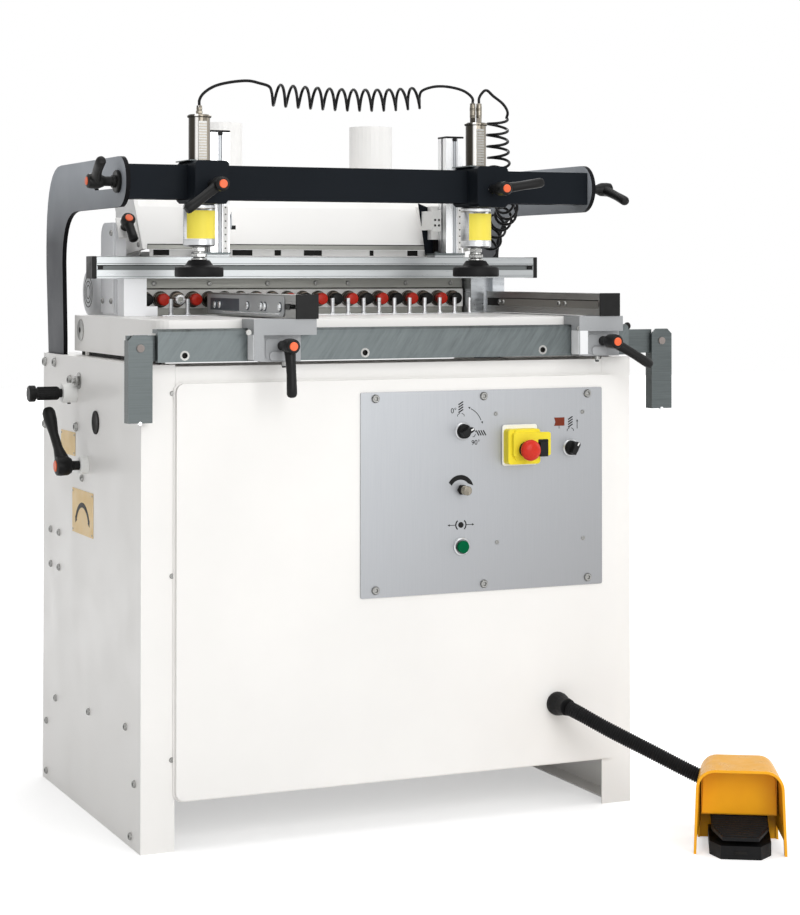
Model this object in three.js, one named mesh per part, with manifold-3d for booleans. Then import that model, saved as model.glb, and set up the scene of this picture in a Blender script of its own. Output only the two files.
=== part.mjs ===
// Floor-standing dowel boring machine: one row of spindles behind a small table, two air pressers
// on a gantry beam, side fences on a steel front bar, and a foot pedal.
// Millimetres, +X right along the spindle row, +Y to the back, +Z up.
import * as THREE from "three";
import { mergeVertices } from "three/addons/utils/BufferGeometryUtils.js";
import Module from "manifold-3d";

const wasm = await Module();
wasm.setup();

// ---------------------------------------------------------------- driving dimensions
const PITCH = 32; // spindle to spindle
const SPINDLES = 21;
const GAP = 0.3; // left between pieces that touch
const CABINET = { halfWidth: 466, depth: 628, height: 812, sheet: 3, flange: 59 };
const PANEL = { left: -407, right: 434, bottom: 85, top: 780, front: -10, sheet: 3 };
const PLATE = { left: -75, right: 401, bottom: 402, top: 758, thick: 2 };
const TABLE = { halfWidth: 440, top: 886, bottom: 820, back: 335, endBack: 503, endWidth: 88 };
const BAR = { halfWidth: 447, front: -30, bottom: 817, top: 872, thick: 12 };
const ARM = { inner: 450.5, thick: 8, nose: 44 };
const BEAM = { y: 157, z: 1124, height: 60, depth: 54, wall: 5, halfWidth: 450, opening: 395 };
const CARRIAGE = { width: 62, front: 86, back: 190, wall: 6.5, left: -312, right: 229 };
const COLUMN = { radius: 19, top: 1240 };
const CYLINDER = { radius: 28, bottom: 1012, top: 1086.5 };
const PAD = { radius: 43, bottom: 958 };
const REAR_FENCE = { halfWidth: 444, front: 341, size: 40, bottom: 955.3, cap: 8 };
const PROFILE = { size: 37, lefts: [-226, 256], back: 381.5, top: 1228 };
const SIDE_FENCE = { size: 40, length: 458, lefts: [-214, 370] };
const STOPS = { width: 42, height: 146, top: 863, sheet: 4, lip: 22 };
const HEAD = { halfWidth: 345, front: 456, back: 541, bottom: 880, top: 957, axisZ: 915 };
const PIVOT = { y: 380, z: 846 }; // axis that the boring head tilts about
const MOTOR = { radius: 55, y: 600, z: 928, left: -399, right: -185 };
const HOOD = { halfWidth: 332, bottom: 1012, sheet: 3, lean: 33 };
const PEDAL = {
  x: 444,
  y: -402,
  turn: -30.7,
  width: 154,
  height: 140,
  depth: 120,
  corner: 32,
  sheet: 4,
  taper: 0.12,
};
const LEVER_ARM = 82;

const COLOUR = {
  white: 0xf2f1ee,
  silver: 0xc3c8ca,
  anthracite: 0x2b2f34,
  grey: 0x8d9197,
  galvanised: 0xa9adb0,
  aluminium: 0xd4d6d8,
  nickel: 0xb9b2a4,
  black: 0x171717,
  red: 0xb01a1c,
  orange: 0xf0622a,
  yellow: 0xf2b21c,
  green: 0x1f7a4d,
  taupe: 0x77746c,
};

// ---------------------------------------------------------------- solids
// A closed geometry as a manifold solid, turned outside out when its faces point inwards.
function solid(geometry) {
  geometry.deleteAttribute("normal");
  geometry.deleteAttribute("uv");
  const merged = mergeVertices(geometry, 1e-4);
  const build = (index) =>
    new wasm.Manifold(
      new wasm.Mesh({
        numProp: 3,
        vertProperties: new Float32Array(merged.attributes.position.array),
        triVerts: new Uint32Array(index),
      }),
    );
  const first = build(merged.index.array);
  return first.volume() > 0 ? first : build(Array.from(merged.index.array).reverse());
}

const join = (...pieces) => pieces.flat().reduce((a, b) => a.add(b));
const cut = (body, ...tools) => tools.flat().reduce((a, b) => a.subtract(b), body);

const AXES = {
  x: (g) => g.applyMatrix4(new THREE.Matrix4().set(0, 0, 1, 0, 1, 0, 0, 0, 0, 1, 0, 0, 0, 0, 0, 1)),
  y: (g) => g.applyMatrix4(new THREE.Matrix4().set(1, 0, 0, 0, 0, 0, -1, 0, 0, 1, 0, 0, 0, 0, 0, 1)),
  z: (g) => g,
};

function box(x0, x1, y0, y1, z0, z1) {
  const g = new THREE.BoxGeometry(x1 - x0, y1 - y0, z1 - z0);
  return solid(g.translate((x0 + x1) / 2, (y0 + y1) / 2, (z0 + z1) / 2));
}

// An outline extruded from a to b: (y, z) outlines along x, (x, z) along y and (x, y) along z.
function prism(axis, shape, a, b, curveSegments = 3) {
  const g = new THREE.ExtrudeGeometry(shape, { depth: b - a, bevelEnabled: false, curveSegments });
  AXES[axis](g);
  if (axis === "x") g.translate(a, 0, 0);
  if (axis === "y") g.translate(0, b, 0);
  if (axis === "z") g.translate(0, 0, a);
  return solid(g);
}

const polygon = (points) => new THREE.Shape(points.map(([u, v]) => new THREE.Vector2(u, v)));

function roundedRect(u0, u1, v0, v1, r) {
  const s = new THREE.Shape();
  s.moveTo(u0 + r, v0).lineTo(u1 - r, v0);
  s.absarc(u1 - r, v0 + r, r, -Math.PI / 2, 0);
  s.absarc(u1 - r, v1 - r, r, 0, Math.PI / 2);
  s.absarc(u0 + r, v1 - r, r, Math.PI / 2, Math.PI);
  s.absarc(u0 + r, v0 + r, r, Math.PI, 1.5 * Math.PI);
  return s;
}

// A turned piece: [radius, height] steps along an axis through the given point.
function turned(axis, at, steps, sides = 20) {
  const points = steps.map(([r, h]) => new THREE.Vector2(Math.max(r, 0), h));
  const g = new THREE.LatheGeometry(points, sides);
  g.rotateX(Math.PI / 2);
  if (axis === "x") g.rotateY(Math.PI / 2);
  if (axis === "y") g.rotateX(-Math.PI / 2);
  return solid(g.translate(...at));
}

// A plain rod between two heights on an axis.
const rod = (axis, at, r, h0, h1, sides = 16) =>
  turned(axis, at, [[0, h0], [r, h0], [r, h1], [0, h1]], sides);

function tube(curve, radius, steps, sides = 8) {
  const s = new THREE.Shape();
  s.absarc(0, 0, radius, 0, 2 * Math.PI);
  const g = new THREE.ExtrudeGeometry(s, {
    extrudePath: curve,
    steps,
    curveSegments: sides / 2,
    bevelEnabled: false,
  });
  return solid(g);
}

// The section of a square T-slot extrusion, with one undercut groove in the middle of each side.
function slotSection(u0, v0, size) {
  const half = size / 2;
  const mouth = size * 0.1;
  const lip = size * 0.07;
  const root = size * 0.2;
  const depth = size * 0.2;
  const side = [
    [-half, -half],
    [-mouth, -half],
    [-mouth, -half + lip],
    [-root, -half + lip],
    [-root, -half + depth],
    [root, -half + depth],
    [root, -half + lip],
    [mouth, -half + lip],
    [mouth, -half],
  ];
  const points = [];
  for (let quarter = 0; quarter < 4; quarter++) {
    const c = Math.round(Math.cos((quarter * Math.PI) / 2));
    const s = Math.round(Math.sin((quarter * Math.PI) / 2));
    for (const [u, v] of side) points.push([u0 + half + c * u - s * v, v0 + half + s * u + c * v]);
  }
  return polygon(points);
}

// ---------------------------------------------------------------- the object
const object = new THREE.Group();
const cords = new THREE.Group();

function piece(name, body, colour, roughness = 0.5, metalness = 0, parent = object) {
  const made = body.getMesh();
  const geometry = new THREE.BufferGeometry();
  geometry.setAttribute("position", new THREE.BufferAttribute(new Float32Array(made.vertProperties), 3));
  geometry.setIndex(new THREE.BufferAttribute(new Uint32Array(made.triVerts), 1));
  const material = new THREE.MeshStandardMaterial({ color: COLOUR[colour], roughness, metalness });
  const mesh = new THREE.Mesh(geometry, material);
  mesh.name = name;
  parent.add(mesh);
}

const mirror = (body) => body.mirror([1, 0, 0]);

// ---------------------------------------------------------------- cabinet
function cabinet() {
  const { halfWidth: w, depth: d, height: h, sheet: t, flange: f } = CABINET;
  const armNotch = box(ARM.inner - 1, w - t, 505, d - t, h - 10, h + 1);
  const right = cut(
    join(
      box(w - t, w, 0, d, 0, h),
      box(w - f, w, 0, t, 0, h),
      box(w - f, w, d - t, d, 0, h),
      box(w - f, w, 0, d, h - t, h),
      box(w - 36, w, 0, d, 0, t),
    ),
    armNotch,
  );
  const accessHole = rod("x", [-w, 269, 700], 17, -10, 10);
  piece("side_frame_left", cut(mirror(right), accessHole), "white");
  piece("side_frame_right", right, "white");

  const inside = w - f - GAP;
  const header = join(
    box(-inside, inside, 0, t, 730, h - t - GAP),
    box(-inside, inside, 0, 120, h - 2 * t - GAP, h - t - GAP),
    box(-inside, inside, 120 - t, 120, 770, h - t - GAP),
  );
  piece("front_header", header, "white");

  const shelf = w - t - 2 * GAP;
  const back = join(
    box(-inside, inside, d - 2 * t - 2 * GAP, d - t - 2 * GAP, PANEL.bottom, 600),
    box(-inside, inside, d - 30, d - t - 2 * GAP, 597, 600),
    box(-shelf, shelf, t + 2 * GAP, d - t - 2 * GAP, PANEL.bottom, PANEL.bottom + t),
  );
  piece("back_panel", back, "white");
}

function frontPanel() {
  const { left, right, bottom, top, front, sheet } = PANEL;
  const back = -2 * GAP;
  const pan = cut(
    prism("y", roundedRect(left, right, bottom, top, 14), front, back),
    prism("y", roundedRect(left + sheet, right - sheet, bottom + sheet, top - sheet, 11), front + sheet, 1),
  );
  const buttonBore = rod("y", [118, front, 483], 7, -10, 10);
  piece("front_panel", cut(pan, buttonBore), "white");
  const face = front - GAP;
  const plate = prism(
    "y",
    roundedRect(PLATE.left, PLATE.right, PLATE.bottom, PLATE.top, 3),
    face - PLATE.thick,
    face,
  );
  piece("control_plate", cut(plate, buttonBore), "silver", 0.35, 0.6);
}

// ---------------------------------------------------------------- controls on the plate
const FACE = PANEL.front - GAP - PLATE.thick - GAP;

function selector(name, x, z) {
  const body = join(
    rod("y", [x, FACE, z], 13, -7, 0),
    turned("y", [x, FACE, z], [[0, -20], [9, -20], [11, -16], [11, -7], [0, -7]]),
    box(x - 3.5, x + 3.5, FACE - 24, FACE - 7, z - 11, z + 11),
  );
  piece(name, body, "black");
}

function controls() {
  selector("mode_selector", 121, 686);
  selector("feed_selector", 336, 650);
  const regulator = join(
    rod("y", [119, FACE, 583], 9, -5, 0, 6),
    rod("y", [119, FACE, 583], 5, -10, -5),
    rod("y", [119, FACE, 583], 8, -24, -10, 16),
  );
  piece("regulator_knob", regulator, "nickel", 0.3, 0.9);

  const boxShape = roundedRect(199, 279, 624, 690, 6);
  const depth = 30;
  const stopAt = [232, FACE - depth, 652];
  const startWell = box(257, 274, FACE - depth - 1, FACE - depth + 8, 638, 666);
  const stopWell = rod("y", stopAt, 9, -1, 14);
  piece("switch_box", cut(prism("y", boxShape, FACE - depth, FACE), startWell, stopWell), "yellow");
  const stop = join(
    rod("y", stopAt, 8, -10, 6),
    turned("y", stopAt, [[0, -26], [12, -25], [18, -20], [19, -14], [15, -10], [0, -10]]),
  );
  piece("emergency_stop_button", stop, "red");
  const start = box(258, 273, FACE - depth - 4, FACE - depth + 3, 639, 665);
  piece("start_button", start, "black");
  const green = join(
    rod("y", [118, FACE, 483], 11, -11, -3.4),
    rod("y", [118, FACE, 483], 6, -4, 2),
  );
  piece("cycle_button", green, "green");
}

// ---------------------------------------------------------------- clamping levers
// A clamping lever: a stepped hub along an axis and a tapered arm that leaves it sideways.
// `stout` thickens its hub and the root of its arm.
function lever(axis, at, sign, hubLength, angle, length, stout = 1) {
  const h = (v) => sign * v;
  const hub = turned(axis, at, [
    [0, h(0)],
    [9, h(0)],
    [9, h(hubLength * 0.45)],
    [12 * stout, h(hubLength * 0.5)],
    [12.5 * stout, h(hubLength - 3)],
    [12.5 * stout - 3.5, h(hubLength)],
    [0, h(hubLength)],
  ], 14);
  const arm = new THREE.CylinderGeometry(7.5, 9.5 * stout, length, 10).translate(0, length / 2, 0);
  const tip = new THREE.SphereGeometry(7.5, 10, 5).translate(0, length, 0);
  const out = h(hubLength * 0.72);
  const place = (g) => {
    g.rotateZ(angle);
    if (axis === "x") g.rotateY(Math.PI / 2).rotateX(Math.PI / 2).translate(out, 0, 0);
    if (axis === "y") g.rotateX(Math.PI / 2).translate(0, out, 0);
    return solid(g.translate(...at));
  };
  return join(hub, place(arm), place(tip));
}

// ---------------------------------------------------------------- table and front bar
function table() {
  const { halfWidth: w, top, bottom, back, endBack, endWidth } = TABLE;
  const plan = (inset, rear) => {
    const s = new THREE.Shape();
    const r = 30 - inset;
    const x = w - inset;
    s.moveTo(-x + r, inset).lineTo(x - r, inset);
    s.absarc(x - r, inset + r, r, -Math.PI / 2, 0);
    s.lineTo(x, endBack - rear).lineTo(w - endWidth + rear, endBack - rear);
    s.lineTo(w - endWidth + rear, back - rear).lineTo(-w + endWidth - rear, back - rear);
    s.lineTo(-w + endWidth - rear, endBack - rear).lineTo(-x, endBack - rear);
    s.lineTo(-x, inset + r);
    s.absarc(-x + r, inset + r, r, Math.PI, 1.5 * Math.PI);
    return s;
  };
  const shell = cut(prism("z", plan(0, 0), bottom, top), prism("z", plan(8, 8), bottom - 1, top - 10));
  const feet = [];
  for (const x of [-420, 420]) {
    for (const y of [60, 450]) feet.push(rod("z", [x, y, 0], 14, CABINET.height + GAP, top - 4));
  }
  const inner = w - endWidth;
  const lugs = [-1, 1].map((side) => {
    const h = side < 0 ? [-inner - 1, -inner + 10] : [inner - 10, inner + 1];
    return rod("x", [0, PIVOT.y, PIVOT.z], 8, ...h);
  });
  piece("table", join(shell, feet, lugs), "white");

  const { halfWidth: b, front, bottom: z0, top: z1, thick } = BAR;
  const section = polygon([
    [front, z0],
    [front + thick, z0],
    [front + thick, z1 - 7],
    [-GAP, z1 - 7],
    [-GAP, z1],
    [front + 9, z1],
    [front + 2, z1 - 4],
    [front, z1 - 10],
  ]);
  const holes = [-400, -74, 271].map((x) => rod("y", [x, front, 828], 5, -2, thick + 2, 12));
  piece("front_bar", cut(prism("x", section, -b, b), holes), "galvanised", 0.4, 0.8);
}

// Pins stand between the spindles; those under the left fence's travel are pushed down flush.
function stopRail() {
  const z = TABLE.top + GAP;
  const y = 340;
  const strip = box(-322, 322, y - 6, y + 6, z - 0.1, z + 1.4);
  const pins = [];
  for (let i = 0; i < SPINDLES - 1; i++) {
    const x = (i - (SPINDLES - 2) / 2) * PITCH;
    if (x > -260 && x < 0) continue;
    pins.push(turned("z", [x, y, z], [[0, 0], [5.5, 0], [5.5, 4], [4, 5], [4, 31], [0, 31]], 8));
  }
  piece("stop_rail", join(strip, pins), "galvanised", 0.3, 0.9);
}

function endStop(side) {
  const { width, height, top, sheet, lip } = STOPS;
  const left = side < 0 ? -496 : 499;
  const face = prism(
    "y",
    polygon([
      [left, top - height],
      [left + width, top - height],
      [left + width, top - 9],
      [left + width - 9, top],
      [left + 9, top],
      [left, top - 9],
    ]),
    -24,
    -24 + sheet,
  );
  const flange = box(left, left + sheet, -24, -24 + lip, top - height, top - 9);
  const [a, b] = side < 0 ? [left, -250] : [262, left + sheet];
  const arm = box(a, b, -16, -8, 819, 862);
  const nut = rod("y", [left + width / 2, -24, top - 22], 6, -2, 0.5, 12);
  const name = side < 0 ? "end_stop_left" : "end_stop_right";
  piece(name, join(face, flange, arm, nut), "galvanised", 0.45, 0.8);
}

// ---------------------------------------------------------------- side fences
function sideFence(name, x) {
  const front = -60;
  const floor = TABLE.top + 2 + GAP;
  const rail = prism("y", slotSection(x, floor, SIDE_FENCE.size), front, front + SIDE_FENCE.length);
  const cap = box(x, x + SIDE_FENCE.size, front - 3, front + 1, floor, floor + SIDE_FENCE.size);
  piece("side_fence_" + name, join(rail, cap), "aluminium", 0.4, 0.8);

  const onLeft = name === "left";
  const left = onLeft ? x - 75 : x - 41;
  const arm = onLeft ? 113 : 89;
  const bracketTop = floor - GAP;
  const barFace = BAR.front - GAP;
  const bracket = join(
    box(left, left + arm, front, barFace, 861, bracketTop),
    box(left, left + arm, barFace - 1, -1, BAR.top + GAP, bracketTop),
    box(left, left + 18, front, barFace, 818, 862),
    box(left + 17, left + 91, -42, barFace, 816, 862),
    rod("z", [left + (onLeft ? 62 : 48), -38, 0], 4, 808, 817, 12),
  );
  piece("fence_bracket_" + name, bracket, "aluminium", 0.55, 0.6);
  const angle = onLeft ? Math.PI : -Math.PI * 0.67;
  const hub = [left + 57, -42 - GAP, 843];
  piece("fence_lever_" + name, lever("y", hub, -1, 58, angle, LEVER_ARM), "black");
}

// ---------------------------------------------------------------- gantry
function armShape() {
  const s = new THREE.Shape();
  const { y, z } = BEAM;
  const r = ARM.nose;
  s.moveTo(514, 640).lineTo(622, 640).lineTo(622, 812).lineTo(640, 980);
  s.bezierCurveTo(646, 1100, 620, 1168, 535, z + r);
  s.lineTo(y, z + r);
  s.absarc(y, z, r, Math.PI / 2, 1.5 * Math.PI);
  s.lineTo(425, z - r - 1);
  s.bezierCurveTo(485, z - r - 1, 524, 1050, 524, 985);
  s.lineTo(514, 841);
  return s;
}

function gantry() {
  const { inner, thick } = ARM;
  const { y, z, height, depth, wall, halfWidth, opening } = BEAM;
  const slot = roundedRect(y - 16, 312, z - 11, z + 11, 10.9);
  const arm = cut(
    prism("x", armShape(), inner, inner + thick, 10),
    prism("x", slot, inner - 1, inner + thick + 1),
  );
  piece("arm_left", mirror(arm), "grey");
  piece("arm_right", arm, "grey");

  const y0 = y - depth / 2;
  const y1 = y + depth / 2;
  const shaft = inner + thick + 12;
  const beam = join(
    cut(
      box(-halfWidth, halfWidth, y0, y1, z - height / 2, z + height / 2),
      box(-opening, opening, y0 + wall, y1 - wall, z - height, z + height),
    ),
    rod("x", [0, y, z], 8, -shaft, -halfWidth + 1),
    rod("x", [0, y, z], 8, halfWidth - 1, shaft),
  );
  piece("beam", beam, "anthracite");

  for (const side of [-1, 1]) {
    const start = side * (inner + thick + GAP);
    const washer = rod("x", [start, y, z], 20, side < 0 ? -7 : 0, side < 0 ? 0 : 7);
    const hub = lever("x", [start + side * 6, y, z], side, 52, side < 0 ? 1.1 : 1.91, 70);
    const bore = rod("x", [start, y, z], 8.4, side < 0 ? -12 : -1, side < 0 ? 1 : 12);
    piece(side < 0 ? "beam_lever_left" : "beam_lever_right", cut(join(washer, hub), bore), "black");
  }
}

function carriage(name, x) {
  const { width, front, back, wall } = CARRIAGE;
  const half = width / 2;
  const { y, z, height, depth } = BEAM;
  const z0 = z - height / 2 - wall;
  const z1 = z + height / 2 + wall;
  const outline = polygon([
    [x - half + 5, z0],
    [x + half - 5, z0],
    [x + half, z0 + 5],
    [x + half, z1 - 5],
    [x + half - 5, z1],
    [x - half + 5, z1],
    [x - half, z1 - 5],
    [x - half, z0 + 5],
  ]);
  const body = cut(
    prism("y", outline, front, back),
    box(
      x - half - 1,
      x + half + 1,
      y - depth / 2 - 0.4,
      y + depth / 2 + 0.4,
      z - height / 2 - 0.4,
      z + height / 2 + 0.4,
    ),
    rod("z", [x, y, 0], COLUMN.radius + 0.4, z0 - 1, z1 + 1, 28),
  );
  piece("carriage_" + name, body, "anthracite");
  const angle = name === "left" ? Math.PI * 0.7 : -Math.PI * 0.45;
  const hub = [x, front - GAP, z - 6];
  piece("carriage_lever_" + name, lever("y", hub, -1, 60, angle, LEVER_ARM - 8), "black");
}

function presser(name, x) {
  const { radius, top } = COLUMN;
  const { y } = BEAM;
  const cylinder = turned("z", [x, y, 0], [
    [0, CYLINDER.bottom],
    [CYLINDER.radius - 3, CYLINDER.bottom],
    [CYLINDER.radius, CYLINDER.bottom + 3],
    [CYLINDER.radius, CYLINDER.top - 3],
    [CYLINDER.radius - 3, CYLINDER.top],
    [radius, CYLINDER.top],
    [radius, top],
    [radius + 2.5, top],
    [radius + 2.5, top + 2],
    [radius, top + 4],
    [7, top + 5],
    [0, top + 5],
  ], 28);
  const rack = box(x - 7, x + 7, y - radius - 1, y - radius + 2, CYLINDER.top + 12, top - 12);
  const bore = rod("z", [x, y, 0], 9.4, CYLINDER.bottom - 1, CYLINDER.bottom + 52);
  const fittings = name === "left" ? [0] : [-6.5, 6.5];
  const nippleTop = top + (name === "left" ? 20 : 40);
  const nipples = fittings.map((dx) => rod("z", [x + dx, y, 0], 5, top + 4, nippleTop, 6));
  piece("presser_column_" + name, join(cut(cylinder, rack, bore), nipples), "nickel", 0.25, 0.9);

  const foot = turned("z", [x, y, 0], [
    [0, PAD.bottom],
    [PAD.radius - 2, PAD.bottom],
    [PAD.radius, PAD.bottom + 2],
    [PAD.radius, PAD.bottom + 15],
    [PAD.radius - 3, PAD.bottom + 18],
    [25, PAD.bottom + 20],
    [20, PAD.bottom + 30],
    [13, PAD.bottom + 31],
    [13, PAD.bottom + 44],
    [9, PAD.bottom + 45],
    [9, CYLINDER.bottom + 44],
    [0, CYLINDER.bottom + 44],
  ], 28);
  piece("presser_pad_" + name, foot, "black");
}

// ---------------------------------------------------------------- rear fence
function rearFence() {
  const { halfWidth, front, size, bottom, cap } = REAR_FENCE;
  const top = bottom + size;
  const caps = [-1, 1].map((side) => {
    const a = side * (halfWidth - 1);
    const b = side * (halfWidth + cap);
    return box(Math.min(a, b), Math.max(a, b), front, front + size, bottom, top);
  });
  const plates = PROFILE.lefts.map((x) =>
    box(x - 24, x + PROFILE.size, front + 4, front + size, top - 1, top + 4),
  );
  const bar = prism("x", slotSection(front, bottom, size), -halfWidth, halfWidth);
  piece("rear_fence_bar", join(bar, caps, plates), "aluminium", 0.35, 0.85);
  PROFILE.lefts.forEach((x, i) => {
    const section = slotSection(x, PROFILE.back - PROFILE.size, PROFILE.size);
    const post = prism("z", section, top + 4 + GAP, PROFILE.top);
    piece(i ? "fence_upright_right" : "fence_upright_left", post, "aluminium", 0.35, 0.85);
  });
}

// ---------------------------------------------------------------- hood
// The front sheet leans back from the bottom edge. A clamping lever stands square on a tab beside it.
function hood() {
  const { halfWidth: w, bottom, sheet, lean } = HOOD;
  const outer = [[403, bottom], [453, 1090], [484, 1112], [600, 1112], [600, bottom]];
  const inner = [[407, bottom - 1], [456, 1088], [485, 1109], [597, 1109], [597, bottom - 1]];
  const shell = cut(
    prism("x", polygon(outer), -w, w),
    prism("x", polygon(inner), -w + sheet, w - sheet),
  );
  const pipeAt = [-143, 176];
  const pipes = pipeAt.map((x) => rod("z", [x, 530, 0], 43, 1110, 1256, 32));
  const bores = pipeAt.map((x) => rod("z", [x, 530, 0], 40.5, 1100, 1260, 32));
  const clampOutline = polygon([[382, 1030], [416, 1030], [457, 1095], [382, 1095]]);
  const clamps = PROFILE.lefts.map((x) => prism("x", clampOutline, x - 15, x + 42));
  const cheeks = [-1, 1].map((side) => {
    const a = side * (w - 1);
    const b = side * (w + 7);
    const outline = polygon([[401, bottom - 2], [466, 1112], [580, 1118], [590, 1100], [512, bottom - 12]]);
    return prism("x", outline, Math.min(a, b), Math.max(a, b));
  });
  const base = [-363, 436, 1050];
  const tab = box(base[0] - 14, -w + 1, 0.3, 4.3, -22, 22)
    .rotate([-lean, 0, 0])
    .translate([0, base[1], base[2]]);
  piece("hood", cut(join(shell, pipes, clamps, cheeks, tab), bores), "white", 0.4);
  const handle = lever("y", [0, 0, 0], -1, 34, -Math.PI * 0.98, 42).rotate([-lean, 0, 0]).translate(base);
  piece("hood_lever", handle, "black");
}

function hoodBrackets() {
  const z0 = TABLE.top + GAP;
  const plate = new THREE.Shape();
  plate.moveTo(455, z0).lineTo(540, z0).lineTo(540, 1034);
  plate.absarc(515, 1034, 25, 0, Math.PI / 2);
  plate.lineTo(455, 1059);
  const left = join(
    prism("x", plate, -375, -355),
    box(-392, -349, 345, 386, z0, 955),
    box(-372, -353, 385, 456, z0, 948),
    box(-350, -328, 345, 351, z0, 904),
    box(-356, -339.6, 500, 530, 1000, 1009),
  );
  piece("hood_bracket_left", left, "grey");
  const right = join(
    box(348, 376, 424, 500, z0, 955),
    box(375, 405, 456, 500, z0, 955),
    box(404, 430, 440, 540, z0, 990),
    box(340, 405, 500, 540, 975, 990),
    box(340, 352, 505, 535, 989, 1009),
    rod("z", [394, 478, 0], 9, 954, 972, 12),
  );
  piece("hood_bracket_right", right, "galvanised", 0.45, 0.8);
}

// ---------------------------------------------------------------- boring head
function head() {
  const { halfWidth: w, front, back, bottom, top, axisZ } = HEAD;
  const cradle = join(
    box(-w, w, 440, 640, 860, 868),
    box(-130, -100, 450, 535, 867, bottom - GAP),
    box(235, 265, 450, 535, 867, bottom - GAP),
    [-1, 1].map((side) => {
      const s = new THREE.Shape();
      s.moveTo(520, 861).lineTo(440, 868);
      s.lineTo(PIVOT.y, PIVOT.z + 20);
      s.absarc(PIVOT.y, PIVOT.z, 20, Math.PI / 2, 1.5 * Math.PI);
      s.lineTo(520, 845);
      const x = side * (w - 4);
      return prism("x", s, Math.min(x, x + side * 8), Math.max(x, x + side * 8));
    }),
  );
  const bore = rod("x", [0, PIVOT.y, PIVOT.z], 8.8, -w - 10, w + 10, 24);
  piece("tilt_cradle", cut(cradle, bore), "galvanised", 0.5, 0.7);

  const seat = front + 6;
  const noses = [];
  for (let i = 0; i < SPINDLES; i++) {
    const x = (i - (SPINDLES - 1) / 2) * PITCH;
    noses.push(rod("y", [x, front, axisZ], 13.5, -3, 2, 12));
    if (i !== (SPINDLES - 1) / 2) noses.push(rod("y", [x, front, axisZ], 10, -24, 0, 8));
  }
  const housing = cut(
    join(
      box(-w, w, seat, back, bottom, top),
      box(-w, w - 4, front, seat + 1, axisZ + 19, top - 2),
      box(-w, w, front, seat + 1, axisZ - 17, axisZ + 18.5),
      box(-w, w - 4, front, seat + 1, bottom, axisZ - 17.5),
      box(-w, w, seat - 2, seat + 1, bottom, top),
      noses,
    ),
    rod("y", [0, front, axisZ], 10.4, -5, 60, 24),
  );
  piece("spindle_head", housing, "taupe", 0.5, 0.4);
  const spindle = rod("y", [0, front, axisZ], 10, -24, 58, 24);
  piece("drive_spindle", spindle, "black", 0.4, 0.6);

  const motor = turned("x", [0, MOTOR.y, MOTOR.z], [
    [0, MOTOR.left],
    [28, MOTOR.left],
    [46, MOTOR.left + 8],
    [MOTOR.radius - 1, MOTOR.left + 20],
    [MOTOR.radius, MOTOR.left + 34],
    [MOTOR.radius, MOTOR.right - 14],
    [MOTOR.radius - 6, MOTOR.right],
    [0, MOTOR.right],
  ], 32);
  const foot = box(-340, -240, MOTOR.y - 30, MOTOR.y + 30, 868 + GAP, 890);
  piece("motor", join(motor, foot), "grey");
}

// ---------------------------------------------------------------- side controls
function sideControls() {
  const x = -CABINET.halfWidth - GAP;
  const knob = turned("x", [x, 403, 746], [
    [0, 0],
    [18, 0],
    [18, -26],
    [9, -26],
    [9, -30],
    [11.5, -32],
    [11.5, -74],
    [15, -76],
    [15, -86],
    [12, -88],
    [0, -88],
  ]);
  piece("adjuster_knob", knob, "white");
  const spacer = rod("x", [x, 326, 620], 16, -15, 0);
  const hub = lever("x", [x - 14, 326, 620], -1, 46, -0.68, 125, 1.4);
  piece("side_lever", join(spacer, hub), "black");
}

// ---------------------------------------------------------------- foot pedal
// The guard is an arched cover that narrows to the back, with a flap hanging inside it.
function pedal() {
  const { width, height, depth, corner, sheet, turn, taper } = PEDAL;
  const half = width / 2;
  const arch = (inset, y0, y1) => {
    const s = new THREE.Shape();
    const r = corner - inset;
    const w = half - inset;
    s.moveTo(-w, inset ? -1 : 0).lineTo(w, inset ? -1 : 0);
    s.lineTo(w - 4, height - inset - r);
    s.absarc(w - 4 - r, height - inset - r, r, 0, Math.PI / 2);
    s.absarc(-w + 4 + r, height - inset - r, r, Math.PI / 2, Math.PI);
    const g = new THREE.ExtrudeGeometry(s, { depth: y1 - y0, bevelEnabled: false, curveSegments: 4 });
    g.rotateX(Math.PI / 2).translate(0, y1, 0);
    const points = g.getAttribute("position");
    for (let i = 0; i < points.count; i++) {
      points.setX(i, points.getX(i) * (1 - (taper * points.getY(i)) / depth));
    }
    return solid(g);
  };
  const place = (body) => body.rotate([0, 0, turn]).translate([PEDAL.x, PEDAL.y, 0]);
  const guard = join(
    cut(
      arch(0, 0, depth),
      arch(sheet, -1, depth - sheet),
      rod("y", [8, depth, 76], 14, -10, 10),
      box(-half - 1, half + 1, 12, depth - 8, -1, 24),
    ),
    arch(1, 53, 58).intersect(box(-63, 63, 54, 57, 54, height)),
  );
  piece("pedal_guard", place(guard), "yellow");
  const foot = prism(
    "z",
    polygon([[-51, 4], [-33, -28], [33, -28], [51, 4], [51, 112], [-51, 112]]),
    0,
    22,
  );
  const post = box(-40, 40, 96, 111, 21, 58);
  piece("pedal_base", place(join(foot, post)), "black");
  const side = polygon([[-31, 30.5], [-31, 37], [93, 57], [93, 48], [60, 44]]);
  const plan = polygon([[-30, -32], [30, -32], [48, 14], [48, 94], [-48, 94], [-48, 14]]);
  const tread = prism("x", side, -48, 48).intersect(prism("z", plan, 20, 70));
  piece("pedal_tread", place(tread), "black");
}

// ---------------------------------------------------------------- hoses and conduit
const curve = (points) =>
  new THREE.CatmullRomCurve3(points.map((p) => new THREE.Vector3(...p)), false, "centripetal");

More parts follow.
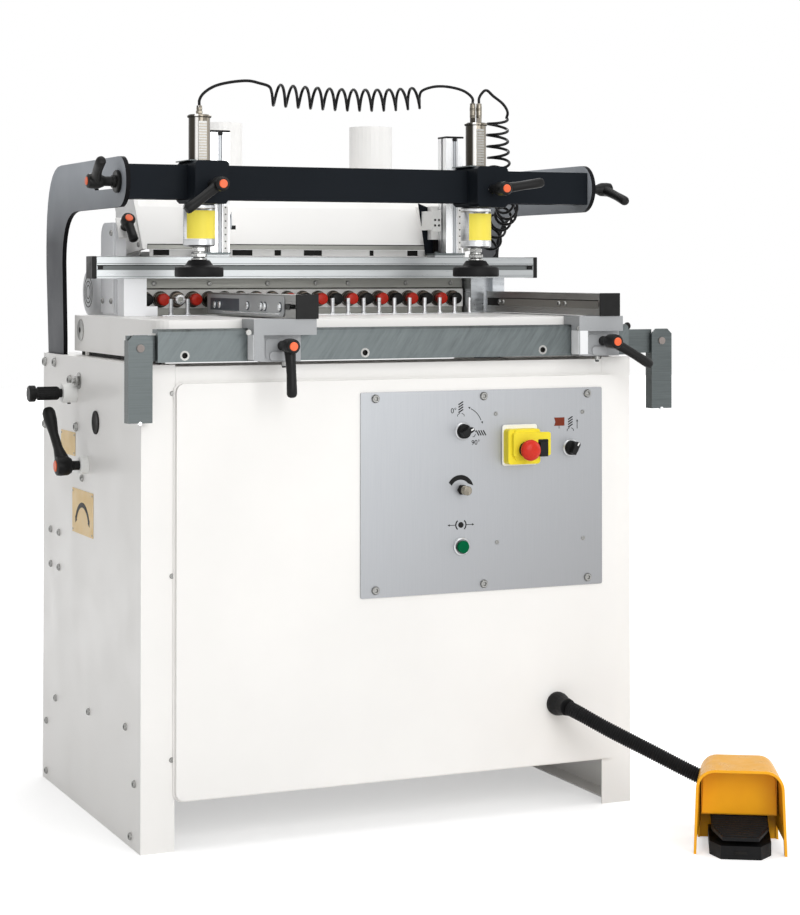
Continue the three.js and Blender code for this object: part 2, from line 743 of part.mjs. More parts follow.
const GLAND = [309, PANEL.front, 192];
const CONDUIT = [
  [310, -61, 190],
  [319, -75, 185],
  [352, -112, 163],
  [410, -178, 128],
  [462, -232, 97],
  [494, -266, 81],
  [506, -283, 76],
];
const COIL_A = [[-178, 157, 1284], [-120, 157, 1281], [-30, 157, 1279], [60, 157, 1282], [118, 157, 1288]];
const COIL_B = [
  [297, 205, 1250],
  [300, 207, 1205],
  [304, 210, 1160],
  [306, 226, 1118],
  [318, 270, 1092],
  [345, 330, 1080],
  [380, 400, 1068],
  [396, 432, 1038],
  [394, 442, 1006],
];

function flexibles() {
  const top = COLUMN.top + 20 + 3 * GAP;
  const high = top + 20;
  const [l, r] = [CARRIAGE.left, CARRIAGE.right];
  const leadA = [
    [l, 157, top],
    [l, 157, top + 8],
    [l + 6, 157, 1280],
    [l + 30, 157, 1296],
    [l + 90, 157, 1307],
    [-196, 157, 1296],
    [-182, 157, 1284],
  ];
  const leadB = [
    [122, 157, 1288],
    [136, 157, 1301],
    [165, 157, 1309],
    [208, 157, 1299],
    [r - 6.5, 157, high + 8],
    [r - 6.5, 157, high],
  ];
  const leadC = [
    [r + 6.5, 157, high],
    [r + 7, 157, high + 10],
    [r + 22, 160, 1306],
    [r + 42, 170, 1291],
    [r + 62, 184, 1268],
    [r + 72, 192, 1256],
  ];
  piece("hose_lead_left", tube(curve(leadA), 3, 24), "black", 0.5, 0, cords);
  piece("hose_coil_span", tube(curve(COIL_A), 22, 14, 12), "black", 0.5, 0, cords);
  piece("hose_lead_right", tube(curve(leadB), 3, 20), "black", 0.5, 0, cords);
  piece("hose_lead_drop", tube(curve(leadC), 3, 20), "black", 0.5, 0, cords);
  piece("hose_coil_drop", tube(curve(COIL_B), 24, 22, 12), "black", 0.5, 0, cords);

  const gland = turned("y", GLAND, [
    [0, -42],
    [15, -42],
    [17, -24],
    [21, -8],
    [21, -GAP],
    [0, -GAP],
  ]);
  piece("conduit_gland", gland, "black");
  piece("foot_conduit", tube(curve(CONDUIT), 13, 30, 10), "black", 0.6, 0, cords);
}

// ---------------------------------------------------------------- assembly
cabinet();
frontPanel();
controls();
table();
stopRail();
endStop(-1);
endStop(1);
SIDE_FENCE.lefts.forEach((x, i) => sideFence(i ? "right" : "left", x));
gantry();
carriage("left", CARRIAGE.left);
carriage("right", CARRIAGE.right);
presser("left", CARRIAGE.left);
presser("right", CARRIAGE.right);
rearFence();
hood();
hoodBrackets();
head();
sideControls();
pedal();
flexibles();

// The origin is the centre of the object's footprint on the floor, hoses and conduit apart.
const extent = new THREE.Box3().setFromObject(object);
const middle = extent.getCenter(new THREE.Vector3());
const machine = new THREE.Group();
machine.add(object, cords);
machine.position.set(-middle.x, -middle.y, -extent.min.z);
export default machine;
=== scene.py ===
import math

import bmesh
import bpy
from mathutils import Matrix, Vector


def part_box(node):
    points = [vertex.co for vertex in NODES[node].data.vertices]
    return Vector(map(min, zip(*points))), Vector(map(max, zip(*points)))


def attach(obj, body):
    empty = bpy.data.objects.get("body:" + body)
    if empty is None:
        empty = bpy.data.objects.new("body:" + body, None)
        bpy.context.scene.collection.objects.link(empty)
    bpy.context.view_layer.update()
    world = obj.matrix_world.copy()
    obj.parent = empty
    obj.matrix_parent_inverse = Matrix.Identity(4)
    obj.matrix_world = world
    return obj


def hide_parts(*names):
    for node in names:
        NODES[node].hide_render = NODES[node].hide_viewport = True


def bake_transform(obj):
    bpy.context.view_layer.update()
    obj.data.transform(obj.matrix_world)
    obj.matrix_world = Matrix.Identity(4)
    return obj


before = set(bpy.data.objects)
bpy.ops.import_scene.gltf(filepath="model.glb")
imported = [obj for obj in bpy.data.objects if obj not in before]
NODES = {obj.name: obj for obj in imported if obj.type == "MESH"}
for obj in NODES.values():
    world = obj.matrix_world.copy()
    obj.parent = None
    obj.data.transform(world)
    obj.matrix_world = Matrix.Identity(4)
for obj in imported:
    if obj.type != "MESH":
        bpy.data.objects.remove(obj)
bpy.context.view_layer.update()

# Everything below is written in millimetres from the cabinet: X from its middle, Y from its front
# face to the back, Z from the floor. ORIGIN is that point in the row frame.
HALF_CABINET = 466
ORIGIN = Vector((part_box("side_frame_left")[0].x + HALF_CABINET / 1000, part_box("side_frame_left")[0].y, 0))
PITCH = 32
BEAM_Y, BEAM_Z = 157, 1124
COLUMNS = {"left": -312, "right": 229}
FACE = -12.6  # front of the control plate


def at(x, y, z):
    return Vector((x, y, z)) / 1000 + ORIGIN


# ---------------------------------------------------------------- camera
def set_camera():
    data = bpy.data.cameras.new("camera")
    data.lens = 86.5
    data.sensor_width = 36
    data.shift_x = 0.0009
    data.shift_y = -0.2465
    data.clip_end = 50
    camera = bpy.data.objects.new("camera", data)
    turn = Matrix.Rotation(math.radians(-23.93), 4, "Z") @ Matrix.Rotation(math.radians(90.99), 4, "X")
    camera.matrix_world = Matrix.Translation(at(-1558.97, -3520.68, 970.67)) @ turn
    bpy.context.scene.collection.objects.link(camera)
    bpy.context.scene.camera = camera


set_camera()


# ---------------------------------------------------------------- materials
class Surface:
    """A material's node tree, with short calls for adding and wiring nodes."""

    def __init__(self, name, rough=0.4, metal=0.0, **shader):
        self.material = bpy.data.materials.new(name)
        self.material.use_nodes = True
        self.tree = self.material.node_tree
        self.shader = self.tree.nodes["Principled BSDF"]
        self.shader.inputs["Roughness"].default_value = rough
        self.shader.inputs["Metallic"].default_value = metal
        for key, value in shader.items():
            self.shader.inputs[key.replace("_", " ")].default_value = value
        self.place = self.add("ShaderNodeTexCoord").outputs["Object"]

    def add(self, kind, **inputs):
        node = self.tree.nodes.new(kind)
        for key, value in inputs.items():
            self.set(node.inputs[key.replace("_", " ")], value)
        return node

    def set(self, socket, value):
        if hasattr(value, "is_output"):
            self.tree.links.new(value, socket)
        else:
            socket.default_value = value

    def spread(self, scale=(1, 1, 1), turn=(0, 0, 0)):
        turned = self.add("ShaderNodeMapping", Vector=self.place)
        turned.inputs["Rotation"].default_value = turn
        node = self.add("ShaderNodeMapping", Vector=turned.outputs["Vector"])
        node.inputs["Scale"].default_value = scale
        return node.outputs["Vector"]

    def noise(self, scale, detail=3.0, vector=None, roughness=0.5):
        node = self.add("ShaderNodeTexNoise", Vector=vector or self.place)
        node.inputs["Scale"].default_value = scale
        node.inputs["Detail"].default_value = detail
        node.inputs["Roughness"].default_value = roughness
        return node.outputs["Fac"]

    def ramp(self, value, *stops):
        node = self.add("ShaderNodeValToRGB", Fac=value)
        elements = node.color_ramp.elements
        while len(elements) < len(stops):
            elements.new(0.5)
        for element, (position, colour) in zip(elements, stops):
            element.position = position
            element.color = (*colour, 1)
        return node.outputs["Color"]

    def range(self, value, low, high, start=0.3, end=0.7):
        node = self.add("ShaderNodeMapRange", Value=value)
        node.inputs["From Min"].default_value = start
        node.inputs["From Max"].default_value = end
        node.inputs["To Min"].default_value = low
        node.inputs["To Max"].default_value = high
        return node.outputs["Result"]

    def math(self, operation, a, b=0.5):
        node = self.add("ShaderNodeMath")
        node.operation = operation
        self.set(node.inputs[0], a)
        self.set(node.inputs[1], b)
        return node.outputs[0]

    def mix(self, factor, a, b):
        node = self.add("ShaderNodeMix")
        node.data_type = "RGBA"
        self.set(node.inputs["Factor"], factor)
        self.set(node.inputs[6], a if hasattr(a, "is_output") else (*a, 1))
        self.set(node.inputs[7], b if hasattr(b, "is_output") else (*b, 1))
        return node.outputs[2]

    def colour(self, value):
        self.set(self.shader.inputs["Base Color"], value)
        return self

    def roughness(self, value):
        self.set(self.shader.inputs["Roughness"], value)
        return self

    def bump(self, height, strength, distance=0.001):
        node = self.add("ShaderNodeBump", Height=height)
        node.inputs["Strength"].default_value = strength
        node.inputs["Distance"].default_value = distance
        self.tree.links.new(node.outputs["Normal"], self.shader.inputs["Normal"])
        return self


def shade(rgb, k):
    return tuple(min(1.0, c * k) for c in rgb)


def paint(name, rgb, rough=0.35, peel=0.12, vary=0.03, **more):
    """Sprayed enamel: faint cloudy tone, uneven gloss and an orange-peel skin."""
    s = Surface(name, rough=rough, **more)
    cloud = s.noise(3.5, 5)
    s.colour(s.ramp(cloud, (0.3, shade(rgb, 1 - vary)), (0.7, shade(rgb, 1 + vary))))
    s.roughness(s.range(s.noise(14, 4), rough - 0.06, rough + 0.08))
    return s.bump(s.noise(420, 2), peel, 0.0004).material


def brushed(name, rgb, rough=0.3, stretch=(1, 1, 60), turn=(0, 0, 0), streak=0.18, scale=9.0, bump=0.12):
    """Bare metal with grinding marks, which run across the axis that is stretched."""
    s = Surface(name, rough=rough, metal=1.0)
    lines = s.noise(scale, 6, s.spread(stretch, turn), 0.7)
    cloud = s.noise(6, 3)
    base = s.ramp(lines, (0.25, shade(rgb, 1 - streak)), (0.5, rgb), (0.78, shade(rgb, 1 + streak)))
    s.colour(s.mix(s.range(cloud, 0.0, 0.35), base, shade(rgb, 0.8)))
    s.roughness(s.range(lines, rough - 0.08, rough + 0.14))
    return s.bump(lines, bump, 0.0005).material


def moulded(name, rgb, rough=0.45, grain=0.2, size=900, vary=0.12, **more):
    """Moulded plastic or rubber with a fine pebbled skin."""
    s = Surface(name, rough=rough, **more)
    s.colour(s.ramp(s.noise(22, 4), (0.3, shade(rgb, 1 - vary)), (0.7, shade(rgb, 1 + vary))))
    s.roughness(s.range(s.noise(60, 3), rough - 0.08, rough + 0.1))
    return s.bump(s.noise(size, 2), grain, 0.0004).material


WHITE = (0.89, 0.875, 0.85)
DULL = {"Specular_IOR_Level": 0.15}
MATT = {"Specular_IOR_Level": 0.04}


def column_nickel_painted_reflection(name, x):
    """Nickel round a column at x, with painted reflection: dark and pale stripes and a painted glint, set by
    the angle round the rod as a polished rod would reflect them.
    """
    s = Surface(name, rough=0.24, metal=1.0)
    split = s.add("ShaderNodeSeparateXYZ", Vector=s.place)
    across = s.math("SUBTRACT", split.outputs["X"], ORIGIN.x + x / 1000)
    ahead = s.math("SUBTRACT", ORIGIN.y + BEAM_Y / 1000, split.outputs["Y"])
    round_it = s.range(s.math("ARCTAN2", across, ahead), 0.0, 1.0, -math.pi, math.pi)
    dark, mid, pale = (0.03, 0.026, 0.021), (0.19, 0.17, 0.14), (0.3, 0.27, 0.23)
    dim, painted_glint, low = (0.05, 0.045, 0.037), (0.95, 0.93, 0.9), (0.09, 0.08, 0.065)
    # Painted reflection: the colour is set by the angle round the column, dark on one side, with a painted
    # glint.
    painted_reflection_bands = s.ramp(
        round_it, (0.17, mid), (0.23, dark), (0.375, dim), (0.396, painted_glint), (0.424, painted_glint),
        (0.438, mid), (0.6, mid), (0.63, pale), (0.72, low),
    )
    wear = s.noise(7, 5, s.spread((60, 60, 1)), 0.7)
    s.colour(s.mix(s.range(wear, 0.0, 0.2), painted_reflection_bands, (0.06, 0.055, 0.045)))
    s.roughness(s.range(wear, 0.18, 0.36))
    return s.bump(wear, 0.1, 0.0003).material


def control_sheet():
    """Satin silver sheet, a little darker towards its lower right."""
    s = Surface("plate_satin", rough=0.5, metal=1.0)
    lines = s.noise(9, 6, s.spread((60, 1, 1)), 0.7)
    base = s.ramp(lines, (0.25, (0.335, 0.347, 0.362)), (0.78, (0.37, 0.38, 0.397)))
    split = s.add("ShaderNodeSeparateXYZ", Vector=s.place)
    fade = s.math("SUBTRACT", split.outputs["X"], split.outputs["Z"])
    s.colour(s.mix(s.range(fade, 0.0, 0.55, -0.8, 0.0), base, (0.195, 0.195, 0.198)))
    return s.bump(lines, 0.03, 0.0005).material


def arm_paint():
    """Grey enamel on the arms, with painted light: pale along the top and dark lower down, as the light falls
    on them.
    """
    s = Surface("arm_grey", rough=0.5, Specular_IOR_Level=0.15)
    split = s.add("ShaderNodeSeparateXYZ", Vector=s.place)
    # Painted light: the grey runs from dark at Z 1.02 m up to pale at 1.15 m.
    high = s.range(split.outputs["Z"], 0.0, 1.0, 1.02, 1.15)
    base = s.mix(high, (0.082, 0.086, 0.094), (0.45, 0.48, 0.52))
    s.colour(s.mix(s.range(s.noise(3.5, 5), 0.0, 0.2), base, (0.16, 0.168, 0.184)))
    s.roughness(s.range(s.noise(14, 4), 0.44, 0.58))
    return s.bump(s.noise(420, 2), 0.2, 0.0004).material


MAT = {
    "white": paint("white_enamel", WHITE, 0.36),
    # A paler copy of the white enamel: painted light against the shade on the leaning hood and on the spindle
    # plate.
    "hood": paint("white_enamel_painted_light", (0.95, 0.94, 0.92), 0.4),
    "plate": control_sheet(),
    "arm": arm_paint(),
    "end_grey": paint("end_grey", (0.93, 0.94, 0.96), 0.45, 0.2, 0.04),
    "edge": paint("edge_black", (0.008, 0.008, 0.009), 0.55, **MATT),
    "beam": paint("beam_anthracite", (0.0095, 0.012, 0.0155), 0.45, 0.3, 0.15, **MATT),
    "galvanised": brushed(
        "galvanised_sheet", (0.115, 0.13, 0.132), 0.4, (18, 1, 2), (0, -0.6, 0), 0.34, 9, 0.12
    ),
    "stop_steel": brushed("stop_steel", (0.094, 0.106, 0.107), 0.4, (1, 1, 60), (0, 0, 0), 0.35, 8, 0.2),
    "zinc": brushed("zinc_block", (0.5, 0.52, 0.54), 0.3, (2, 2, 9), streak=0.22, scale=14),
    "cast": paint("cast_aluminium", (0.34, 0.35, 0.36), 0.42, 0.6, 0.08),
    "shiny": brushed("shiny_flat", (0.85, 0.87, 0.88), 0.2, (2, 2, 40), streak=0.08),
    "extrusion_x": brushed("extrusion_along_x", (0.37, 0.385, 0.39), 0.32, (1, 90, 90), streak=0.16),
    "extrusion_y": brushed("extrusion_along_y", (0.34, 0.34, 0.33), 0.32, (90, 1, 90), streak=0.14),
    "extrusion_z": brushed("extrusion_along_z", (0.86, 0.87, 0.88), 0.3, (90, 90, 1), streak=0.1),
    "slot_grey": brushed("slot_grey", (0.42, 0.44, 0.46), 0.45, (60, 60, 1), streak=0.1),
    "groove": brushed("groove_shadow", (0.13, 0.14, 0.14), 0.45, (1, 60, 60), streak=0.3),
    "column_left": column_nickel_painted_reflection("column_left", COLUMNS["left"]),
    "column_right": column_nickel_painted_reflection("column_right", COLUMNS["right"]),
    "nickel": brushed("nickel", (0.22, 0.2, 0.165), 0.24, (60, 60, 1), streak=0.5, scale=6),
    "tooth": brushed("rack_tooth", (0.24, 0.215, 0.18), 0.3, (60, 60, 1), streak=0.3),
    "steel": brushed("turned_steel", (0.5, 0.5, 0.5), 0.22, (1, 1, 30), streak=0.35),
    "stem": brushed("stem_steel", (0.42, 0.42, 0.41), 0.18, (1, 30, 30), streak=0.6, scale=20),
    "silver": brushed("satin_silver", (0.62, 0.63, 0.64), 0.32, (3, 3, 40), streak=0.2),
    "bolt": brushed("zinc_bolt", (0.3, 0.3, 0.29), 0.34, (8, 8, 8), streak=0.3, scale=60),
    "black": moulded("black_plastic", (0.009, 0.009, 0.009), 0.4, **DULL),
    "rubber": moulded("black_rubber", (0.006, 0.006, 0.0065), 0.55, 0.35, 700, **DULL),
    "hose": moulded("hose_black", (0.004, 0.004, 0.0045), 0.3, 0.05, **DULL),
    "orange": moulded("orange_cap", (0.86, 0.13, 0.03), 0.4, 0.1),
    "red": moulded("red_plastic", (0.6, 0.032, 0.018), 0.28, 0.06, vary=0.06, **DULL),
    "yellow": moulded("yellow_plastic", (0.86, 0.71, 0.04), 0.35, 0.08, vary=0.05, **DULL),
    "label": moulded("label_yellow", (1.0, 0.83, 0.11), 0.4, 0.05, vary=0.03, **DULL),
    "guard": moulded("guard_yellow", (0.78, 0.37, 0.012), 0.33, 0.1, 500, 0.05, **DULL),
    "guard_rim": moulded("guard_rim", (0.93, 0.43, 0.02), 0.33, 0.1, 500, 0.05, **DULL),
    # A brighter copy of the guard yellow: painted light for the flap, which sits in shade inside the guard.
    "guard_flap_painted_light": moulded("guard_flap_painted_light", (1.0, 0.45, 0.012), 0.36, 0.1, 500, 0.05, **DULL),
    "green": moulded("green_plastic", (0.0, 0.11, 0.04), 0.3, 0.05, vary=0.08, **MATT),
    "rivet": paint("rivet_head", (0.27, 0.235, 0.22), 0.5, **DULL),
    "cast_light": paint("cast_light", (0.82, 0.83, 0.84), 0.42, 0.3, 0.05),
    "pale_steel": paint("pale_steel", (0.4, 0.41, 0.42), 0.35, 0.3, 0.12),
    "slot_blue": paint("slot_blue", (0.05, 0.06, 0.075), 0.4, 0.2, 0.1),
    "slot_brown": paint("slot_brown", (0.15, 0.142, 0.128), 0.4, 0.2, 0.12),
    "sleeve": brushed("sleeve_metal", (0.14, 0.117, 0.095), 0.34, (1, 60, 60), streak=0.4),
    "taupe": brushed("taupe_metal", (0.265, 0.267, 0.246), 0.42, (1, 60, 60), streak=0.2, bump=0.05),
    "beige": moulded("label_beige", (0.84, 0.6, 0.27), 0.45, 0.05, vary=0.05),
    "ink": moulded("sign_ink", (0.006, 0.006, 0.006), 0.5, 0.05, **DULL),
    "rust": moulded("sign_red_brown", (0.17, 0.028, 0.012), 0.5, 0.05, **DULL),
    "ivory": moulded("ivory_strip", (0.88, 0.88, 0.86), 0.4, 0.05, vary=0.03),
    # Paler than the motor's grey: painted light against the shade it sits in behind the bracket.
    "motor": paint("motor_grey_painted_light", (0.85, 0.86, 0.87), 0.45, 0.4, 0.06),
    "dark": moulded("dark_inside", (0.012, 0.011, 0.01), 0.6, 0.2, **DULL),
}


# ---------------------------------------------------------------- building pieces
AXES = {
    "x": Matrix(((0, 0, 1), (1, 0, 0), (0, 1, 0))),
    "y": Matrix(((1, 0, 0), (0, 0, 1), (0, 1, 0))),
    "z": Matrix(((1, 0, 0), (0, 1, 0), (0, 0, 1))),
}


class Piece:
    """One object of several closed shapes, drawn in machine millimetres."""

    def __init__(self, name, body, *materials, bevel=0.5, segments=2, smooth=38, to=None):
        self.name = name
        self.body = body
        self.materials = materials
        self.bevel = bevel
        self.segments = segments
        self.smooth = smooth
        self.to = to or Matrix()
        self.bm = bmesh.new()
        self.index = 0

    def use(self, index):
        self.index = index
        return self

    def add(self, points, faces):
        verts = [self.bm.verts.new(self.to @ Vector(p)) for p in points]
        for f in faces:
            self.bm.faces.new([verts[i] for i in f]).material_index = self.index
        return self

    def block(self, x0, x1, y0, y1, z0, z1):
        points = [(x, y, z) for x in (x0, x1) for y in (y0, y1) for z in (z0, z1)]
        faces = [(0, 1, 3, 2), (4, 6, 7, 5), (0, 4, 5, 1), (2, 3, 7, 6), (0, 2, 6, 4), (1, 5, 7, 3)]
        return self.add(points, faces)

    def turn(self, axis, centre, steps, sides=32, phase=0.0):
        """A turned shape from [radius, height] steps; a radius of 0 closes an end."""
        frame_of = AXES[axis]
        points, rings = [], []
        for r, h in steps:
            if r <= 0:
                rings.append([len(points)])
                points.append(frame_of @ Vector((0, 0, h)) + Vector(centre))
                continue
            rings.append(list(range(len(points), len(points) + sides)))
            for k in range(sides):
                a = phase + 2 * math.pi * k / sides
                points.append(frame_of @ Vector((r * math.cos(a), r * math.sin(a), h)) + Vector(centre))
        faces = []
        for low, high in zip(rings, rings[1:]):
            for k in range(sides):
                n = (k + 1) % sides
                if len(low) == 1 and len(high) == 1:
                    continue
                if len(low) == 1:
                    faces.append((low[0], high[k], high[n]))
                elif len(high) == 1:
                    faces.append((low[k], high[0], low[n]))
                else:
                    faces.append((low[k], high[k], high[n], low[n]))
        return self.add(points, faces)

    def rod(self, axis, centre, r, h0, h1, sides=24, edge=0.6):
        e = min(edge, abs(h1 - h0) / 3) * (1 if h1 > h0 else -1)
        steps = [(0, h0), (r - abs(e), h0), (r, h0 + e), (r, h1 - e), (r - abs(e), h1), (0, h1)]
        return self.turn(axis, centre, steps, sides)

    def plate(self, axis, outline, a, b):
        """An outline extruded from a to b: (y, z) along x, (x, z) along y, (x, y) along z."""
        n = len(outline)
        slot = "xyz".index(axis)
        points = [(*corner[:slot], h, *corner[slot:]) for h in (a, b) for corner in outline]
        faces = [tuple(range(n)), tuple(range(2 * n - 1, n - 1, -1))]
        faces += [(k, n + k, n + (k + 1) % n, (k + 1) % n) for k in range(n)]
        return self.add(points, faces)

    def sweep(self, points, radii, sides=12):
        """A round tube through the points, with one radius for all or one for each."""
        points = [Vector(p) for p in points]
        if not isinstance(radii, (list, tuple)):
            radii = [radii] * len(points)
        tangents = [
            (points[min(i + 1, len(points) - 1)] - points[max(i - 1, 0)]).normalized()
            for i in range(len(points))
        ]
        side = tangents[0].orthogonal().normalized()
        rings, made = [], []
        for p, t, r in zip(points, tangents, radii):
            side = (side - t * side.dot(t)).normalized()
            other = t.cross(side)
            rings.append(list(range(len(made), len(made) + sides)))
            for k in range(sides):
                a = 2 * math.pi * k / sides
                made.append(p + (side * math.cos(a) + other * math.sin(a)) * r)
        faces = [tuple(rings[0]), tuple(reversed(rings[-1]))]
        for low, high in zip(rings, rings[1:]):
            faces += [(low[k], high[k], high[(k + 1) % sides], low[(k + 1) % sides]) for k in range(sides)]
        return self.add(made, faces)

    def screw(self, axis, centre, r=6, sign=-1, height=None):
        """A button-head screw with a hexagon socket."""
        h = sign * (height or r * 0.6)
        self.turn(axis, centre, [(r, 0), (r, h * 0.35), (r * 0.78, h), (r * 0.5, h)], 20)
        self.turn(axis, centre, [(r * 0.5, h), (r * 0.46, h * 0.25), (0, h * 0.25)], 6)
        return self

    def hexagon(self, axis, centre, r, h0, h1):
        c = 0.8 if h1 > h0 else -0.8
        steps = [(0, h0), (r * 0.93, h0), (r, h0 + c), (r, h1 - c), (r * 0.93, h1), (0, h1)]
        return self.turn(axis, centre, steps, 6)

    def done(self, *replaced):
        bmesh.ops.recalc_face_normals(self.bm, faces=self.bm.faces)
        for v in self.bm.verts:
            v.co = v.co / 1000 + ORIGIN
        mesh = bpy.data.meshes.new(self.name)
        self.bm.to_mesh(mesh)
        self.bm.free()
        for m in self.materials:
            mesh.materials.append(MAT[m])
        thing = bpy.data.objects.new(self.name, mesh)
        bpy.context.scene.collection.objects.link(thing)
        soften(thing, self.bevel, self.segments, self.smooth)
        if self.body:
            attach(thing, self.body)
        if replaced:
            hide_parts(*replaced)
        return thing


def soften(thing, bevel, segments=2, angle=38):
    mesh = thing.data
    mesh.polygons.foreach_set("use_smooth", [True] * len(mesh.polygons))
    mesh.set_sharp_from_angle(angle=math.radians(angle))
    if bevel:
        modifier = thing.modifiers.new("edges", "BEVEL")
        modifier.width = bevel / 1000
        modifier.segments = segments
        modifier.limit_method = "ANGLE"
        modifier.angle_limit = math.radians(angle)
        modifier.harden_normals = False


def finish_node(name, material, bevel=0.6, segments=2):
    thing = NODES[name]
    thing.data.materials.clear()
    thing.data.materials.append(MAT[material])
    soften(thing, bevel, segments)


def rounded(u0, u1, v0, v1, r, steps=5):
    corners = [(u1 - r, v0 + r, -90), (u1 - r, v1 - r, 0), (u0 + r, v1 - r, 90), (u0 + r, v0 + r, 180)]
    out = []
    for u, v, a in corners:
        out += arc(u, v, r, a, a + 90, steps)
    return out


def arc(cx, cz, r, a0, a1, steps=16):
    angles = [math.radians(a0 + (a1 - a0) * k / steps) for k in range(steps + 1)]
    return [(cx + r * math.cos(a), cz + r * math.sin(a)) for a in angles]


# ---------------------------------------------------------------- smooth routes
def spline(points, per_span=8):
    """Points along a centripetal Catmull-Rom curve, open at both ends."""
    p = [Vector(q) for q in points]
    p = [p[0] * 2 - p[1]] + p + [p[-1] * 2 - p[-2]]
    out = []
    for i in range(1, len(p) - 2):
        knots = [0.0]
        for j in range(3):
            knots.append(knots[-1] + max((p[i + j] - p[i + j - 1]).length, 1e-6) ** 0.5)
        for k in range(per_span):
            t = knots[1] + (knots[2] - knots[1]) * k / per_span
            a = [
                p[i - 1 + j] * ((knots[j + 1] - t) / (knots[j + 1] - knots[j]))
                + p[i + j] * ((t - knots[j]) / (knots[j + 1] - knots[j]))
                for j in range(3)
            ]
            b = [
                a[j] * ((knots[j + 2] - t) / (knots[j + 2] - knots[j]))
                + a[j + 1] * ((t - knots[j]) / (knots[j + 2] - knots[j]))
                for j in range(2)
            ]
            share = (t - knots[1]) / (knots[2] - knots[1])
            out.append(b[0] * (1 - share) + b[1] * share)
    out.append(p[-2])
    return out


def even(points, count):
    """The same route as count points an equal way apart."""
    reach = [0.0]
    for a, b in zip(points, points[1:]):
        reach.append(reach[-1] + (b - a).length)
    out, j = [], 0
    for k in range(count):
        s = reach[-1] * k / (count - 1)
        while j < len(reach) - 2 and reach[j + 1] < s:
            j += 1
        f = (s - reach[j]) / max(reach[j + 1] - reach[j], 1e-9)
        out.append(points[j].lerp(points[j + 1], min(max(f, 0), 1)))
    return out


def helix(axis_points, radius, first, turns, start=0.0, per_turn=20, lean=0.0, lean_at=0.0):
    """A coil round a route. turns is (share of the route, turns by there); first is where turn 0 is.

    Each ring leans: by `lean` of its radius along the route at the angle lean_at, and back opposite.
    """
    count = int(turns[-1][1] * per_turn) + 1
    total = turns[-1][1]
    route = even(axis_points, 400)
    side = Vector(first).normalized()
    frames = []
    for i, p in enumerate(route):
        t = (route[min(i + 1, 399)] - route[max(i - 1, 0)]).normalized()
        side = (side - t * side.dot(t)).normalized()
        frames.append((p, side, t.cross(side), t))
    out = []
    for k in range(count):
        n = total * k / (count - 1)
        for (s0, n0), (s1, n1) in zip(turns, turns[1:]):
            if n <= n1 or n1 == total:
                share = s0 + (s1 - s0) * (n - n0) / (n1 - n0)
                if n <= n1:
                    break
        p, u, v, t = frames[min(399, max(0, round(share * 399)))]
        f = share * 399 - math.floor(share * 399)
        i = min(398, int(share * 399))
        p = frames[i][0].lerp(frames[i + 1][0], f)
        a = start + 2 * math.pi * n
        out.append(p + (u * math.cos(a) + v * math.sin(a) + t * lean * math.cos(a - lean_at)) * radius)
    return out


def hose(name, points, radius, bodies, span, lay, *replaced):
    """An air hose along a route, riding on one body; one between two bodies is baked where it lies and rides
    on neither.
    """
    points = [Vector(p) for p in points]
    tube = Piece(name, None, "hose", bevel=0).sweep(points, radius, 8).done()
    if len(bodies) == 1:
        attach(tube, bodies[0])
    else:
        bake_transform(tube)
    if replaced:
        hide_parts(*replaced)
    return tube


# ---------------------------------------------------------------- hoses and conduit
HOSE_R = 2.7
COIL_R = 19
NIPPLE = {"left": 1260.9, "right": 1280.9}


